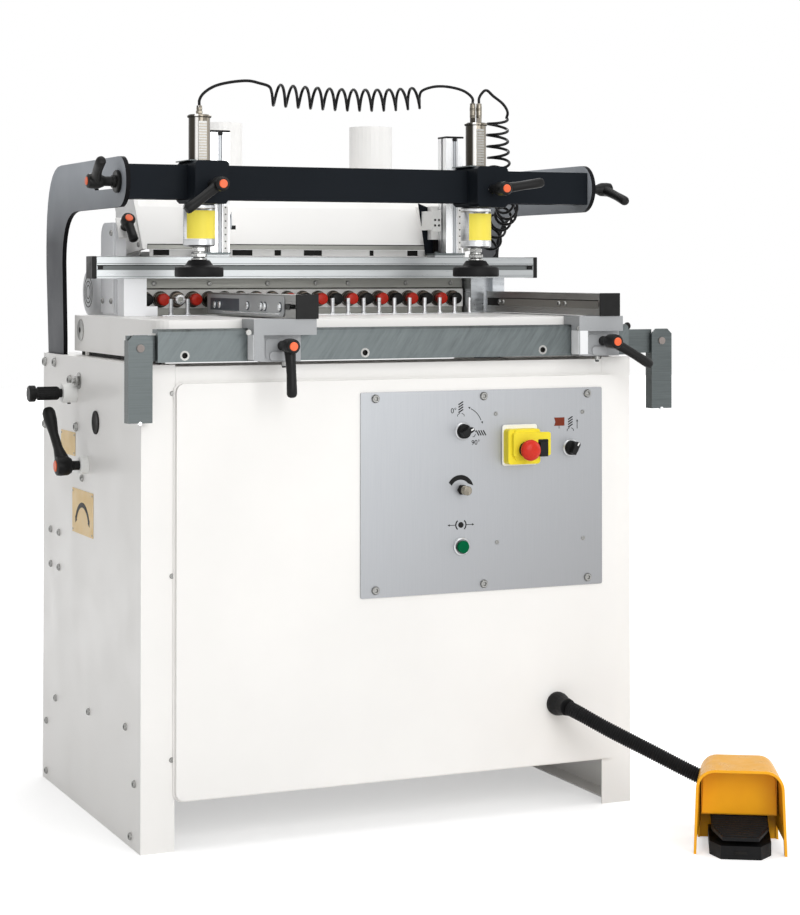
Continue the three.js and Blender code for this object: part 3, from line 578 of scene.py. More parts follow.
def hoses():
    left, right = COLUMNS["left"], COLUMNS["right"]
    low, high = NIPPLE["left"], NIPPLE["right"]
    y = BEAM_Y
    span = [(-178, y, 1284), (-120, y, 1281), (-30, y, 1279), (60, y, 1282), (118, y, 1288)]
    coil = helix(spline(span), COIL_R, (0, -1, 0), [(0, 0), (1, 12.5)], lean=-0.25)
    half = len(coil) // 2
    lead = [
        (left, y, low),
        (left, y, low + 8),
        (left + 6, y, 1280),
        (left + 30, y, 1296),
        (left + 90, y, 1307),
        (-202, y - 6, 1303),
        (-186, y - 16, 1296),
        coil[0],
    ]
    hose("hose_lead_left", even(spline(lead), 50), HOSE_R, ("presser_left", "carriage_left"),
         ((left, y, low), (-215, y, low)), "hanging", "hose_lead_left")
    hose("hose_coil_span_left", coil[: half + 1], HOSE_R, ("carriage_left", "beam"),
         ((-178, y, 1284), (-30, y, 1284)), "coiled", "hose_coil_span")
    hose("hose_coil_span_right", coil[half:], HOSE_R, ("beam", "carriage_right"),
         ((-30, y, 1284), (118, y, 1284)), "coiled")
    lead = [
        coil[-1],
        (124, y + 15, 1300),
        (140, y + 8, 1308),
        (165, y, 1310),
        (206, y, 1302),
        (right - 6.5, y, high + 8),
        (right - 6.5, y, high),
    ]
    hose("hose_lead_right", even(spline(lead), 46), HOSE_R, ("carriage_right", "presser_right"),
         ((130, y, high), (right, y, high)), "hanging", "hose_lead_right")

    route = [
        (297, 205, 1258),
        (299, 207, 1208),
        (304, 210, 1160),
        (308, 226, 1124),
        (340, 270, 1108),
        (374, 316, 1092),
        (388, 354, 1076),
        (389, 386, 1062),
        (389, 414, 1034),
        (392, 446, 1004),
    ]
    turns = [(0, 0), (0.3, 6.0), (0.6, 9), (1, 14.5)]
    drop = helix(spline(route), COIL_R + 1, (1, 0, 0), turns, lean=0.175, lean_at=math.pi / 2)
    lead = [
        (right + 6.5, y, high),
        (right + 7, y, high + 10),
        (right + 22, 160, 1306),
        (right + 42, 168, 1296),
        (right + 68, 178, 1282),
        (right + 85, 194, 1268),
        drop[0],
    ]
    hose("hose_lead_drop", even(spline(lead), 40), HOSE_R, ("presser_right", "carriage_right"),
         ((right, y, high), (280, y, high)), "hanging", "hose_lead_drop")
    cut = round(len(drop) * 0.62)
    hose("hose_coil_drop_upper", drop[: cut + 1], HOSE_R, ("carriage_right", "beam"),
         ((298, 212, 1246), (308, 226, 1130)), "coiled", "hose_coil_drop")
    hose("hose_coil_drop_lower", drop[cut:], HOSE_R, ("beam", "machine"),
         (drop[cut], (392, 446, 1004)), "coiled")
    tail = [drop[-1], drop[-1] + Vector((0, 6, -14)), Vector((394, 478, 990)), Vector((394, 478, 972.4))]
    hose("hose_tail", even(spline(tail), 24), HOSE_R, ("machine",), None, "hanging")


def conduit():
    route = [
        (310, -56, 191),
        (319, -75, 185),
        (352, -112, 163),
        (410, -178, 128),
        (462, -232, 97),
        (494, -266, 81),
        (506, -283, 76),
    ]
    points = even(spline(route), 300)
    radii = [13 if k % 4 < 2 else 11.6 for k in range(len(points))]
    tube = Piece("foot_conduit_ribbed", "machine", "rubber", bevel=0, smooth=20).sweep(points, radii, 20)
    tube = tube.done("foot_conduit")


hoses()
conduit()


# ---------------------------------------------------------------- clamping levers
def grip(part, axis, centre, sign, hub, angle, length, stout=1.0):
    """A clamping lever: stepped hub, a waisted arm that leaves it at an angle, and a coloured cap."""
    frame_of = AXES[axis]
    centre = Vector(centre)
    h = sign * hub
    neck = [(0, 0), (8.5, 0), (8.5, h * 0.3)]
    drum = [(10, 0.36), (12.6, 0.5), (13.2, 0.8), (12.4, 0.95), (9.5, 1), (0, 1)]
    part.use(0).turn(axis, centre, neck + [(r * stout, h * b) for r, b in drum], 28)
    if axis == "x":
        way = Vector((0, -math.sin(angle), math.cos(angle)))
    else:
        way = Vector((-math.sin(angle), 0, math.cos(angle)))
    out = frame_of @ Vector((0, 0, 1)) * sign
    steps = [
        (0, 0.64, 9 * stout),
        (0.12, 0.68, 9.6 * stout),
        (0.3, 0.74, 8.6),
        (0.55, 0.8, 8.2),
        (0.8, 0.83, 8.8 * stout),
        (0.93, 0.84, 8.8 * stout),
        (0.98, 0.84, 7 * stout),
        (1.0, 0.84, 3),
    ]
    spine = [centre + way * (length + 6) * a + out * hub * b for a, b, r in steps]
    part.sweep(spine, [r for a, b, r in steps], 16)
    cap = 7.4 * stout
    top = h + sign * 1.8
    part.use(1).turn(axis, centre, [(cap, h - sign), (cap, top - sign), (cap - 1, top), (0, top)], 24)
    part.use(0)


def levers():
    y, z = BEAM_Y, BEAM_Z
    fence_hubs = {"left": -232, "right": 386}
    for side, name in ((-1, "left"), (1, "right")):
        x = COLUMNS[name]
        part = Piece("carriage_grip_" + name, "carriage_lever_" + name, "black", "orange", bevel=0)
        grip(part, "y", (x, 85.7, z - 6), -1, 57.5, math.pi * (0.7 if side < 0 else -0.45), 74)
        part.done("carriage_lever_" + name)

        start = side * 458.8
        part = Piece("beam_grip_" + name, "beam_lever_" + name, "black", "orange", "bolt", bevel=0)
        grip(part, "x", (start + side * 12, y, z), side, 45, 1.1 if side < 0 else 1.91, 70)
        washer = [(8.6, 0), (19, 0), (20, 1.5), (20, 5.5), (18.5, 7), (8.6, 7)]
        collar = [(8.6, 5), (11, 6.8), (11, 12.5), (8.6, 12.5)]
        for ring, sides in ((washer, 36), (collar, 24)):
            part.turn("x", (start, y, z), [(r, side * h) for r, h in ring], sides)
        part.done("beam_lever_" + name)

        part = Piece("fence_grip_" + name, "fence_lever_" + name, "black", "orange", bevel=0)
        angle = math.pi if side < 0 else -math.pi * 0.67
        grip(part, "y", (fence_hubs[name], -42.3, 843), -1, 55.5, angle, 80)
        part.done("fence_lever_" + name)

    lean = Matrix.Translation((-363, 436, 1050)) @ Matrix.Rotation(math.radians(-33), 4, "X")
    part = Piece("hood_grip", "hood_lever", "black", "orange", bevel=0, to=lean)
    grip(part, "y", (0, 0, 0), -1, 32, -math.pi * 0.98, 42)
    part.done("hood_lever")

    part = Piece("side_grip", "side_lever", "black", "orange", "ivory", bevel=0)
    grip(part, "x", (-480, 326, 620), -1, 44, -0.68, 120, 1.35)
    part.use(2).turn("x", (-466.3, 326, 620), [(0, 0), (16, 0), (16, -12), (14, -14.5), (0, -14.5)], 36)
    part.done("side_lever")


# ---------------------------------------------------------------- cabinet and table
LEFT_BOLTS = [
    (617, 795), (547, 796), (439.5, 768), (615, 676), (396, 684), (356, 594), (571, 479),
    (513, 479), (570, 414), (513, 414), (534, 166), (310, 181), (84, 197), (599, 112), (33, 111),
    (599, 17), (55, 19),
]


def cabinet():
    for name in ("side_frame_left", "side_frame_right", "front_header", "back_panel"):
        finish_node(name, "white", 0.8)
    finish_node("front_panel", "white", 1.6, 3)
    finish_node("table", "white", 2.5, 3)
    finish_node("front_bar", "galvanised", 0.8)
    finish_node("stop_rail", "silver", 0.3)
    finish_node("conduit_gland", "rubber", 0.8)

    part = Piece("cabinet_bolts", "machine", "bolt", bevel=0)
    for y, z in LEFT_BOLTS:
        big = z > 600
        part.screw("x", (-466.1, y, z), 8.6 if big else 6.5, -1)
        if z < 700:
            part.screw("x", (466.1, y, z), 8.6 if big else 6.5, 1)
    part.turn("x", (-466.1, 379, 769), [(15, 0), (15, -1.4), (8, -1.6), (8, -3)], 32)
    part.rod("x", (-466.1, 379, 769), 5, -4, -13, 20)
    part.hexagon("x", (-466.1, 379, 769), 9.5, -1.5, -8)
    for z in (764, 459, 153):
        part.screw("y", (-412, -0.1, z), 4.5, -1, 2)
    for x in (-395, -130, 130, 395):
        for z in (110, 345, 575):
            part.screw("y", (x, 625.2, z), 6, 1)
    part.done()

    part = Piece("panel_seal", "machine", "white", "dark", bevel=0)
    edge = rounded(-410.5, 437.5, 81.5, 783.5, 17, 6)
    inner = rounded(-406.5, 433.5, 85.5, 779.5, 13, 6)
    for k in range(len(edge)):
        n = (k + 1) % len(edge)
        part.plate("y", [edge[k], edge[n], inner[n], inner[k]], -2.2, -0.2)
    for side in (-1, 1):
        x = sorted((side * 427, side * 430))
        part.use(1).block(*x, 14, 488, 812.4, 823)
    part.done()

    part = Piece("grommet_with_painted_hole_shade", "machine", "rubber", "dark", bevel=0)
    sleeve = [(20, 0), (16.4, 0), (16.4, -4), (0, -2), (0, 2), (20, 2), (20, 0)]
    part.turn("x", (-462.9, 269, 700), sleeve, 36)
    # The dark cap over the hole is painted shade: it stands for the dark inside of the cabinet behind the
    # hole.
    part.use(1).turn("x", (-466.4, 269, 700), [(21, 0.4), (21, -1.6), (18, -2.4), (14, -1), (0, -1)], 36)
    part.done()

    part = Piece("side_plates", "machine", "beige", "ink", "bolt", bevel=0.2)
    for y0, y1, z0, z1 in ((403, 499, 630, 673), (284, 420, 492, 572)):
        part.use(0).block(-466.9, -466.1, y0, y1, z0, z1)
        for y in (y0 + 5, y1 - 5):
            for z in (z0 + 5, z1 - 5):
                part.use(2).rod("x", (-466.9, y, z), 2, 0, -0.8, 12, 0.3)
    y, z = 352, 500
    band = arc(y, z, 50, 155, 25) + list(reversed(arc(y, z, 41, 155, 25)))
    part.use(1).plate("x", band, -467.15, -466.85)
    for a, s in ((155, -1), (25, 1)):
        c, d = math.cos(math.radians(a)), math.sin(math.radians(a))
        point = (y + 46 * c + 11 * d * s, z + 46 * d - 11 * c * s)
        tip = [(y + 52 * c, z + 52 * d), (y + 38 * c, z + 38 * d), point]
        part.plate("x", tip, -467.15, -466.85)
    part.done()

    part = Piece("table_fixings", "machine", "bolt", "dark", bevel=0)
    for side in (-1, 1):
        x = side * 440
        part.use(0).turn("x", (x, 461, 859), [(20, 0), (20, side * 1.2), (18.5, side * 2), (0, side * 2)], 40)
        part.use(1).hexagon("x", (x, 461, 859), 5.5, side * 1.5, side * 2.3)
    rim = [(8.4, 0), (8.2, -0.2), (5, -0.1), (4.6, 7), (8.2, 7), (8.4, 0)]
    for x in (-400, -74, 271):
        part.use(0).turn("y", (x, -29.9, 828), rim, 24)
        part.use(1).rod("y", (x, -24, 828), 4.8, 0, 2)
    part.use(1).rod("y", (457, -7.6, 868), 7, -1, 1)
    part.done()

    part = Piece("adjuster_grip", "adjuster", "ivory", "black", "bolt", bevel=0)
    spot = (-466.3, 403, 746)
    part.turn("x", spot, [(0, 0), (18, 0), (18, -24), (16.5, -26), (8, -26), (0, -26)], 36)
    part.use(1).rod("z", (spot[0] - 12, spot[1], spot[2] - 17.6), 3.4, -2.4, 2.4, 12)
    handle = [(0, -25), (8, -25), (8, -30), (11, -32), (11.5, -36), (11.5, -70), (9.5, -74), (9.5, -76)]
    part.use(1).turn("x", spot, handle, 30)
    for k in range(20):
        a = 2 * math.pi * k / 20
        c, s = 11.3 * math.cos(a), 11.3 * math.sin(a)
        part.rod("x", (spot[0], spot[1] + c, spot[2] + s), 1.1, -34, -71, 6, 0.3)
    part.turn("x", spot, [(9.5, -75), (14.5, -76), (15, -78), (15, -86), (13, -88), (0, -88)], 36)
    part.done("adjuster_knob")


def end_stops():
    for name, left in (("end_stop_left", -496), ("end_stop_right", 499)):
        finish_node(name, "stop_steel", 0.5)
        part = Piece(name + "_rivets", name, "rivet", "shiny", bevel=0)
        part.turn("y", (left + 21, -24, 841), [(6.6, 0.2), (6.6, -2.2), (6, -2.7), (0, -2.7)], 28)
        part.use(1).rod("y", (left + 21, -22, 716.5), 3.4, -3, 3, 16)
        part.done()


# ---------------------------------------------------------------- control plate
def controls():
    finish_node("control_plate", "plate", 0.3)
    finish_node("start_button", "black", 1.0)
    part = Piece("plate_screws", "machine", "bolt", bevel=0)
    for x in (-47, 162, 371):
        for z in (747, 415):
            part.screw("y", (x, -12.35, z), 7.5, -1, 3.4)
    for x, z in ((186, 715), (361, 714), (188, 487), (362, 486)):
        part.screw("y", (x, -12.35, z), 3.8, -1, 1.6)
    part.done()

    part = Piece("control_bezels", "machine", "silver", bevel=0)
    for x, z in ((121, 686), (336, 650), (118, 483)):
        ring = [(15.5, 0), (15.5, -2.5), (14, -4), (13.4, -4), (13.4, 0), (15.5, 0)]
        part.turn("y", (x, -12.4, z), ring, 40)
    part.done()

    for name, body, x, z, angle in (
        ("mode_knob", "mode_selector", 121, 686, 28),
        ("feed_knob", "feed_selector", 336, 650, 62),
    ):
        knob = Piece(name, body, "black", "ivory", bevel=0.4)
        knob.turn("y", (x, FACE, z), [(0, 0), (12.9, 0), (12.9, -8), (11.5, -11), (0, -11)], 40)
        spin = Matrix.Translation((x, FACE, z)) @ Matrix.Rotation(math.radians(-angle), 4, "Y")
        knob.to = spin
        handle = [(-11, -4.6), (9, -4.6), (12.2, -2.4), (12.2, 2.4), (9, 4.6), (-11, 4.6)]
        knob.plate("y", handle, -23.5, -10)
        knob.use(1).block(5.5, 11.4, -24, -23.2, -1.3, 1.3)
        knob.block(12, 12.6, -23, -13, -1.3, 1.3)
        knob.done(body)

    knob = Piece("regulator_stem", "regulator", "dark", "nickel", bevel=0.2)
    spot = (119, FACE, 583)
    knob.use(0).hexagon("y", spot, 9.5, -0.1, -5.5)
    knob.use(1).turn("y", spot, [(0, -4), (5, -4.5), (5, -11), (8, -12), (8.2, -13)], 30)
    for k in range(5):
        h = -13 - 2.2 * k
        knob.turn("y", spot, [(8.2, h), (7.6, h - 0.6), (8.2, h - 2.2)], 30)
    knob.turn("y", spot, [(8.2, -24), (7, -25), (0, -24.2)], 30)
    knob.done("regulator_knob")

    button = Piece("cycle_cap", "cycle_button", "green", bevel=0)
    dome = [(0, -5), (10.9, -5), (11, -9.4), (10, -10.6), (4, -11.2), (0, -11.3)]
    button.turn("y", (118, FACE, 483), dome, 40)
    button.done("cycle_button")

    part = Piece("switch_housing", "machine", "yellow", "ivory", "black", bevel=1.1, segments=3)
    part.use(1).plate("y", rounded(197.5, 267, 622, 695, 5), -12.9, -15.4)
    part.use(0).plate("y", rounded(200, 264, 625.5, 688, 6), -15, -34)
    part.plate("y", rounded(207, 281, 640, 682, 4), -33.5, -41.5)
    part.plate("y", rounded(212, 252, 632, 688, 5), -33.5, -37)
    collar = [(9, 0.5), (14.5, 0.5), (14.5, -3), (13, -4.5), (9, -4.5), (9, 0.5)]
    part.use(2).turn("y", (232, -41.5, 652), collar, 36)
    part.plate("y", rounded(255.5, 275.5, 640.5, 669.5, 2), -41.4, -42.6)
    part.done("switch_box")

    stop = Piece("stop_mushroom", "emergency_stop", "red", "black", bevel=0)
    spot = (232, -42.6, 652)
    stop.use(1).turn("y", spot, [(0, -5.2), (8.5, -5.2), (8.5, -10), (0, -10)], 32)
    mushroom = [
        (0, -9), (12, -9), (16.5, -10.5), (18.4, -13), (18.8, -16),
        (18.2, -19), (16, -22), (11, -24.6), (5, -25.6), (0, -25.8),
    ]
    stop.use(0).turn("y", spot, mushroom, 48)
    stop.done("emergency_stop_button")


def sign_text(name, text, x, z, size, turn=0):
    data = bpy.data.curves.new(name, "FONT")
    data.body = text
    data.size = size / 1000
    data.extrude = 0.00012
    data.align_x = "CENTER"
    data.align_y = "CENTER"
    data.materials.append(MAT["ink"])
    thing = bpy.data.objects.new(name, data)
    bpy.context.scene.collection.objects.link(thing)
    thing.matrix_world = (
        Matrix.Translation(at(x, -12.45, z))
        @ Matrix.Rotation(math.radians(90), 4, "X")
        @ Matrix.Rotation(math.radians(turn), 4, "Z")
    )
    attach(thing, "machine")


def signs():
    near, far = -12.55, -12.35
    part = Piece("control_signs", "machine", "ink", "rust", bevel=0)

    def stroke(x0, z0, x1, z1, w=1.1):
        dz, dx = Vector((x1 - x0, z1 - z0)).normalized() * w / 2
        corners = [(x0 - dx, z0 + dz), (x0 + dx, z0 - dz), (x1 + dx, z1 - dz), (x1 - dx, z1 + dz)]
        part.plate("y", corners, near, far)

    def head(x, z, angle, size=4):
        a = math.radians(angle)
        c, s = math.cos(a) * size, math.sin(a) * size
        part.plate("y", [(x + c, z + s), (x - s * 0.5, z + c * 0.5), (x + s * 0.5, z - c * 0.5)], near, far)

    def drill(x, z, angle):
        """A boring bit: slanted flutes over a forked chuck."""
        a = math.radians(angle)
        turned = lambda u, v: (x + u * math.cos(a) - v * math.sin(a), z + u * math.sin(a) + v * math.cos(a))
        for k in range(4):
            stroke(*turned(-4.6, -6 + 4.6 * k), *turned(4.6, -0.6 + 4.6 * k), 2.1)
        for side in (-1, 1):
            stroke(*turned(side * 1.5, -7), *turned(side * 6.5, -10), 1)
            stroke(*turned(side * 6.5, -10), *turned(side * 6.5, -13), 1)

    drill(117, 725, 0)
    drill(153, 682, -90)
    ring = arc(121, 690, 39, 66, 22, 14) + list(reversed(arc(121, 690, 37.8, 66, 22, 14)))
    part.plate("y", ring, near, far)
    head(135, 726.5, 158)
    head(158.5, 702, -72)
    crescent = arc(116, 583, 26, 150, 15, 20) + list(reversed(arc(116, 581, 19.5, 150, 40, 16)))
    part.plate("y", crescent, near, far)
    part.plate("y", arc(117, 521, 5.2, 0, 360, 24)[:-1], near, far)
    for side in (-1, 1):
        a0, a1 = (50, -50) if side > 0 else (130, 230)
        bracket = arc(117, 521, 11, a0, a1, 10) + list(reversed(arc(117, 521, 8.8, a0, a1, 10)))
        part.plate("y", bracket, near, far)
        stroke(117 + side * 11, 521, 117 + side * 22, 521, 1.1)
        head(117 + side * 22, 521, 0 if side > 0 else 180)
    drill(336, 693, 0)
    stroke(350, 684, 350, 697, 1.1)
    head(350, 697, 90)
    part.use(1).plate("y", [(303, 690), (324, 690), (324, 705), (303, 705), (305.5, 697)], near, far)
    part.use(0)
    stroke(313, 690, 313, 685, 0.9)
    part.done()
    sign_text("sign_0", "0°", 103, 722, 13)
    sign_text("sign_90", "90°", 146, 665, 12)


# ---------------------------------------------------------------- gantry and pressers
def gantry():
    for name in ("left", "right"):
        node = NODES["arm_" + name]
        node.data.materials.clear()
        node.data.materials.append(MAT["arm"])
        node.data.materials.append(MAT["edge"])
        # Faces that don't face along X take the near-black edge paint: partly the arms' dark cut edges,
        # partly painted shade, since the edges lie in shadow.
        for face in node.data.polygons:
            face.material_index = 0 if abs(face.normal.x) > 0.7 else 1
        soften(node, 0.5)
    finish_node("beam", "beam", 2.5, 3)

    for name, x in COLUMNS.items():
        finish_node("carriage_" + name, "beam", 1.8, 3)
        finish_node("presser_column_" + name, "column_" + name, 0.4)
        tab = Piece("carriage_tab_" + name, "carriage_" + name, "galvanised", "beam", "bolt", bevel=0.6)
        tab.block(x - 33, x - 20.5, 112, 190, 1160.4, 1162.6)
        tab.use(1).block(x - 30, x + 26, 85.4, 128, 1085.6, 1088.4)
        if name == "right":
            tab.use(2).rod("y", (x - 3.5, 86, 1118), 5.2, -0.5, 0.5)
        tab.done()

        rack = Piece("rack_" + name, "presser_" + name, "tooth", "bolt", bevel=0)
        rack.use(1).block(x - 7.4, x + 7.4, BEAM_Y - 19.2, BEAM_Y - 17.8, 1098, 1232)
        for k in range(27):
            z = 1101 + 4.8 * k
            teeth = [(-18.8, z), (-19.6, z + 0.4), (-19.6, z + 2), (-18.8, z + 2.6)]
            rack.use(0).plate("x", [(BEAM_Y + v, w) for v, w in teeth], x - 6.9, x + 6.9)
        rack.done()

        body = Piece("cylinder_" + name, "presser_" + name, "silver", "label", "nickel", bevel=0)
        spot = (x, BEAM_Y, 0)
        barrel = [(27.9, 1024), (28.15, 1024.4), (28.15, 1079), (27.9, 1079.4)]
        upper = [(27.9, 1078), (28.4, 1079), (28.4, 1084), (25.5, 1086.8), (19.5, 1086.8)]
        lower = [(19, 1011.6), (25, 1011.6), (28.4, 1014.5), (28.4, 1024), (27.9, 1025)]
        for steps in (barrel, upper, lower):
            body.turn("z", spot, steps, 48)
        seam = [(28.2, 1077.6), (28.55, 1077.8), (28.55, 1079), (28.2, 1079.2)]
        body.use(2).turn("z", spot, seam, 48)
        first, last = (-158, -8) if name == "left" else (-142, -8)
        outer, inner = (arc(x, BEAM_Y, r, first, last, 24) for r in (28.4, 28.0))
        body.use(1).plate("z", outer + list(reversed(inner)), 1025.5, 1075)
        body.done()

        top = Piece("column_head_" + name, "presser_" + name, "nickel", "dark", bevel=0)
        top.use(1).turn("z", spot, [(19, 1238.4), (21, 1238.8), (21, 1240), (19, 1240)], 40)
        lid = [(19, 1240), (20.8, 1240), (20.8, 1241.6), (19, 1243.6), (7.5, 1245.4), (6, 1245.4)]
        top.use(0).turn("z", spot, lid, 40)
        for dx in ((0,) if name == "left" else (-6.5, 6.5)):
            fitting = (x + dx, BEAM_Y, 0)
            if name == "left":
                top.hexagon("z", fitting, 6.2, 1245, 1251)
                top.turn("z", fitting, [(4.8, 1250), (4.8, 1254), (3.6, 1260.5), (2.9, 1260.5)], 24)
                top.hexagon("z", fitting, 5.4, 1252.5, 1257)
            else:
                top.turn("z", fitting, [(4.2, 1243), (4.2, 1254)], 20)
                top.hexagon("z", fitting, 5.9, 1253, 1258)
                top.turn("z", fitting, [(5.4, 1258), (5.4, 1274), (4.2, 1280.4), (2.9, 1280.4)], 24)
                top.hexagon("z", fitting, 6.1, 1266, 1272)
        top.done()

        foot = Piece("pad_" + name + "_foot", "pad_" + name, "rubber", "stem", bevel=0)
        sole = [
            (0, 958), (39, 958), (42, 958.6), (43, 960.5), (43, 972), (42, 975), (39, 976.6),
            (30, 977.4), (24, 980), (20, 986), (18, 988), (0, 988),
        ]
        foot.turn("z", spot, sole, 56)
        stem = [(0, 987), (12, 987.4), (14.5, 989), (14.5, 991), (9, 993), (9, 1056), (0, 1056)]
        foot.use(1).turn("z", spot, stem, 32)
        foot.hexagon("z", spot, 14.6, 993.5, 1000)
        foot.hexagon("z", spot, 12.4, 1003, 1010.6)
        foot.done("presser_pad_" + name)


# ---------------------------------------------------------------- fences
def rear_fence():
    finish_node("rear_fence_bar", "extrusion_x", 0.4)
    caps = Piece("rear_fence_caps", "rear_fence", "black", "groove", "extrusion_x", bevel=1)
    for side in (-1, 1):
        x = sorted((side * 444.2, side * 453))
        caps.block(*x, 340.5, 381.5, 954.8, 995.8)
        inner = sorted((side * 432, side * 445))
        caps.block(*inner, 341.4, 346, 971.4, 978.8)
    for x in (-226, 256):
        caps.block(x - 0.8, x + 37.8, 343.7, 382.1, 1226.5, 1230.5)
        caps.block(x + 14, x + 23, 342.6, 346, 1221, 1228)
    caps.done()
    lines = Piece("rear_fence_lines", "rear_fence", "groove", "dark", bevel=0)
    for z0, z1 in ((994.2, 995.2), (981.6, 982.8), (970.4, 971.6), (958.2, 959.0)):
        lines.block(-444, 444, 340.75, 341.2, z0, z1)
    lines.use(1).block(-444, 444, 340.75, 341.2, 978.4, 979.8)
    lines.use(0).block(-444, 444, 344.4, 345.2, 971.5, 978.6)
    lines.done()
    for name, x in (("left", -226), ("right", 256)):
        finish_node("fence_upright_" + name, "extrusion_z", 0.4)
        strip = Piece("scale_" + name, "rear_fence", "hood", "ink", "galvanised", "slot_grey", bevel=0)
        strip.block(x + 24.5, x + 34, 344.1, 344.5, 1003, 1089)
        strip.use(1)
        for k in range(7):
            z = 1010 + 12.6 * k
            strip.block(x + 27.6, x + 30.4, 343.9, 344.2, z, z + 2.2)
        strip.use(3).block(x + 16.4, x + 20.6, 344.9, 346.4, 1003, 1221)
        for v in (12.6, 24.2):
            strip.block(x + v, x + v + 0.7, 344.15, 344.5, 1003, 1226)
        strip.use(2).block(x - 26, x + 37, 336.6, 380, 999.6, 1003.2)
        strip.screw("z", (x - 12, 362, 1003), 5, 1)
        strip.done()
    plates = Piece("fence_guides", "rear_fence", "ivory", "slot_grey", "bolt", "black", bevel=0.4)
    plates.use(0).block(228, 245.4, 346, 349, 1045, 1087)
    plates.block(228, 231, 349, 400, 1048, 1085)
    for x in (233, 241.5):
        for z in (1057, 1067.5):
            plates.use(3).rod("y", (x, 346, z), 2.2, 0.4, -1, 12, 0.3)
    plates.use(1).plate("y", [(-191, 1049), (-185, 1046), (-183, 1052), (-184, 1079)], 347, 349)
    plates.block(-188.4, -185, 349, 400, 1048, 1074)
    plates.use(3).block(-183.5, -176.5, 345, 352, 1046, 1053.5)
    plates.done()


def side_fences():
    for name, x in (("left", -214), ("right", 370)):
        finish_node("side_fence_" + name, "extrusion_y", 0.4)
        finish_node("fence_bracket_" + name, "cast", 3.0, 3)
        body = "fence_" + name
        cap = Piece("fence_cap_" + name, body, "black", bevel=1.2)
        cap.block(x - 0.6, x + 40.6, -63.8, -59.6, 887.9, 929.2)
        cap.done()
    part = Piece("left_fence_plate", "fence_left", "pale_steel", "black", "shiny", "slot_blue", bevel=0.4)
    part.use(1).block(-215, -213.6, -34, -12, 903, 913)
    part.use(0).plate("x", rounded(-8, 391, 890.5, 925.5, 8), -216.4, -214.2)
    part.use(3).block(-216.8, -216.3, 215, 372, 897, 919)
    for y in (345, 318, 170, 100, 82, 8):
        part.use(3).turn("x", (-216.5, y, 907), [(8.4, 0), (8.4, -0.8), (6, -1), (6, -0.3)], 24)
        part.use(2).turn("x", (-216.5, y - 1.5, 907), [(6.4, 0), (6.4, -2.6), (5, -4), (0, -4.2)], 24)
    part.use(2).rod("y", (-217, 0, 895), 1.6, 10, 300, 12)
    part.done()
    part = Piece("right_fence_groove", "fence_right", "dark", "bolt", "slot_brown", bevel=0.3)
    part.use(2).block(369.4, 370.2, -56, 340, 901, 916)
    part.use(0).block(369.3, 370.1, 340, 393, 901, 916)
    part.block(369.2, 370, -56, 340, 914.6, 916.4)
    for y in (68, 92, 322, 338):
        part.use(1).screw("x", (369.3, y, 908.5), 5, -1)
    part.done()
    for name, left, rod_x in (("left", -289, -227), ("right", 329, 377)):
        surfaces = ("cast_light", "bolt", "dark", "cast", "pale_steel")
        part = Piece("bracket_details_" + name, "fence_" + name, *surfaces, bevel=0.6)
        part.block(left - 0.8, left + 0.6, -59, -31, 820, 862)
        # On the right bracket a pale strip on the front face is a painted highlight, where that face shows
        # lit white.
        if name == "right":
            part.block(left + 1, left + 17, -60.9, -59.8, 820, 862)
        pin_x = left - 8 if name == "left" else left + 2
        part.use(1).turn("y", (pin_x, -58, 866), [(0, 0), (5, 0), (5, 5), (0, 5)], 18)
        part.use(3).plate("y", rounded(left + 27, left + 86, 820, 855, 6), -43.2, -41.8)
        part.use(4).plate("y", rounded(left + 34, left + 64, 818, 833, 6), -46, -43)
        part.use(1).rod("z", (rod_x, -38, 812), 4.6, -3, 4)
        part.use(2).rod("z", (rod_x, -38, 808), 3.6, -2.5, 2)
        part.done()


# ---------------------------------------------------------------- hood, head and motor
def hood():
    finish_node("hood", "hood", 2.0, 3)
    finish_node("hood_bracket_left", "end_grey", 0.8)
    finish_node("hood_bracket_right", "zinc", 0.8)
    part = Piece("hood_trim", "machine", "hood", "dark", "beam", "bolt", "taupe", bevel=0.4)
    part.use(4).block(-330, 330, 400.0, 402.6, 1009.5, 1018)
    part.use(1).block(-330, 330, 399.6, 402.8, 1018, 1019.4)
    part.use(0).block(-325, 325, 404, 406, 996, 1009)
    part.use(1)
    for x0, x1 in ((-318, -287), (-162, -122), (-77, -64), (-17, 20), (120, 128), (200, 222)):
        part.block(x0, x1, 403.4, 406.4, 998, 1008.6)
    part.use(3)
    for y, z in ((425, 1018), (415, 1002)):
        part.screw("x", (-339.3, y, z), 5, -1)
    front = [(221, 1101), (253, 1089), (252, 999), (237, 999)]
    part.use(2).plate("y", front, 398, 400.4)
    part.use(1).block(253, 265, 396, 401, 999, 1046)
    part.done()

    grey = Piece("end_plate", "machine", "end_grey", "slot_brown", "bolt", bevel=0.5)
    outline = [(462, 890), (544, 890), (544, 1034)] + arc(518, 1034, 26, 0, 90, 8) + [(462, 1060)]
    grey.plate("x", outline, -377.6, -375.2)
    for y, z in ((474, 1040), (530, 912), (474, 912)):
        grey.use(2).screw("x", (-377.6, y, z), 5.5, -1)
    grey.use(1).block(-378.1, -377.2, 396, 434, 889, 952)
    grey.done()


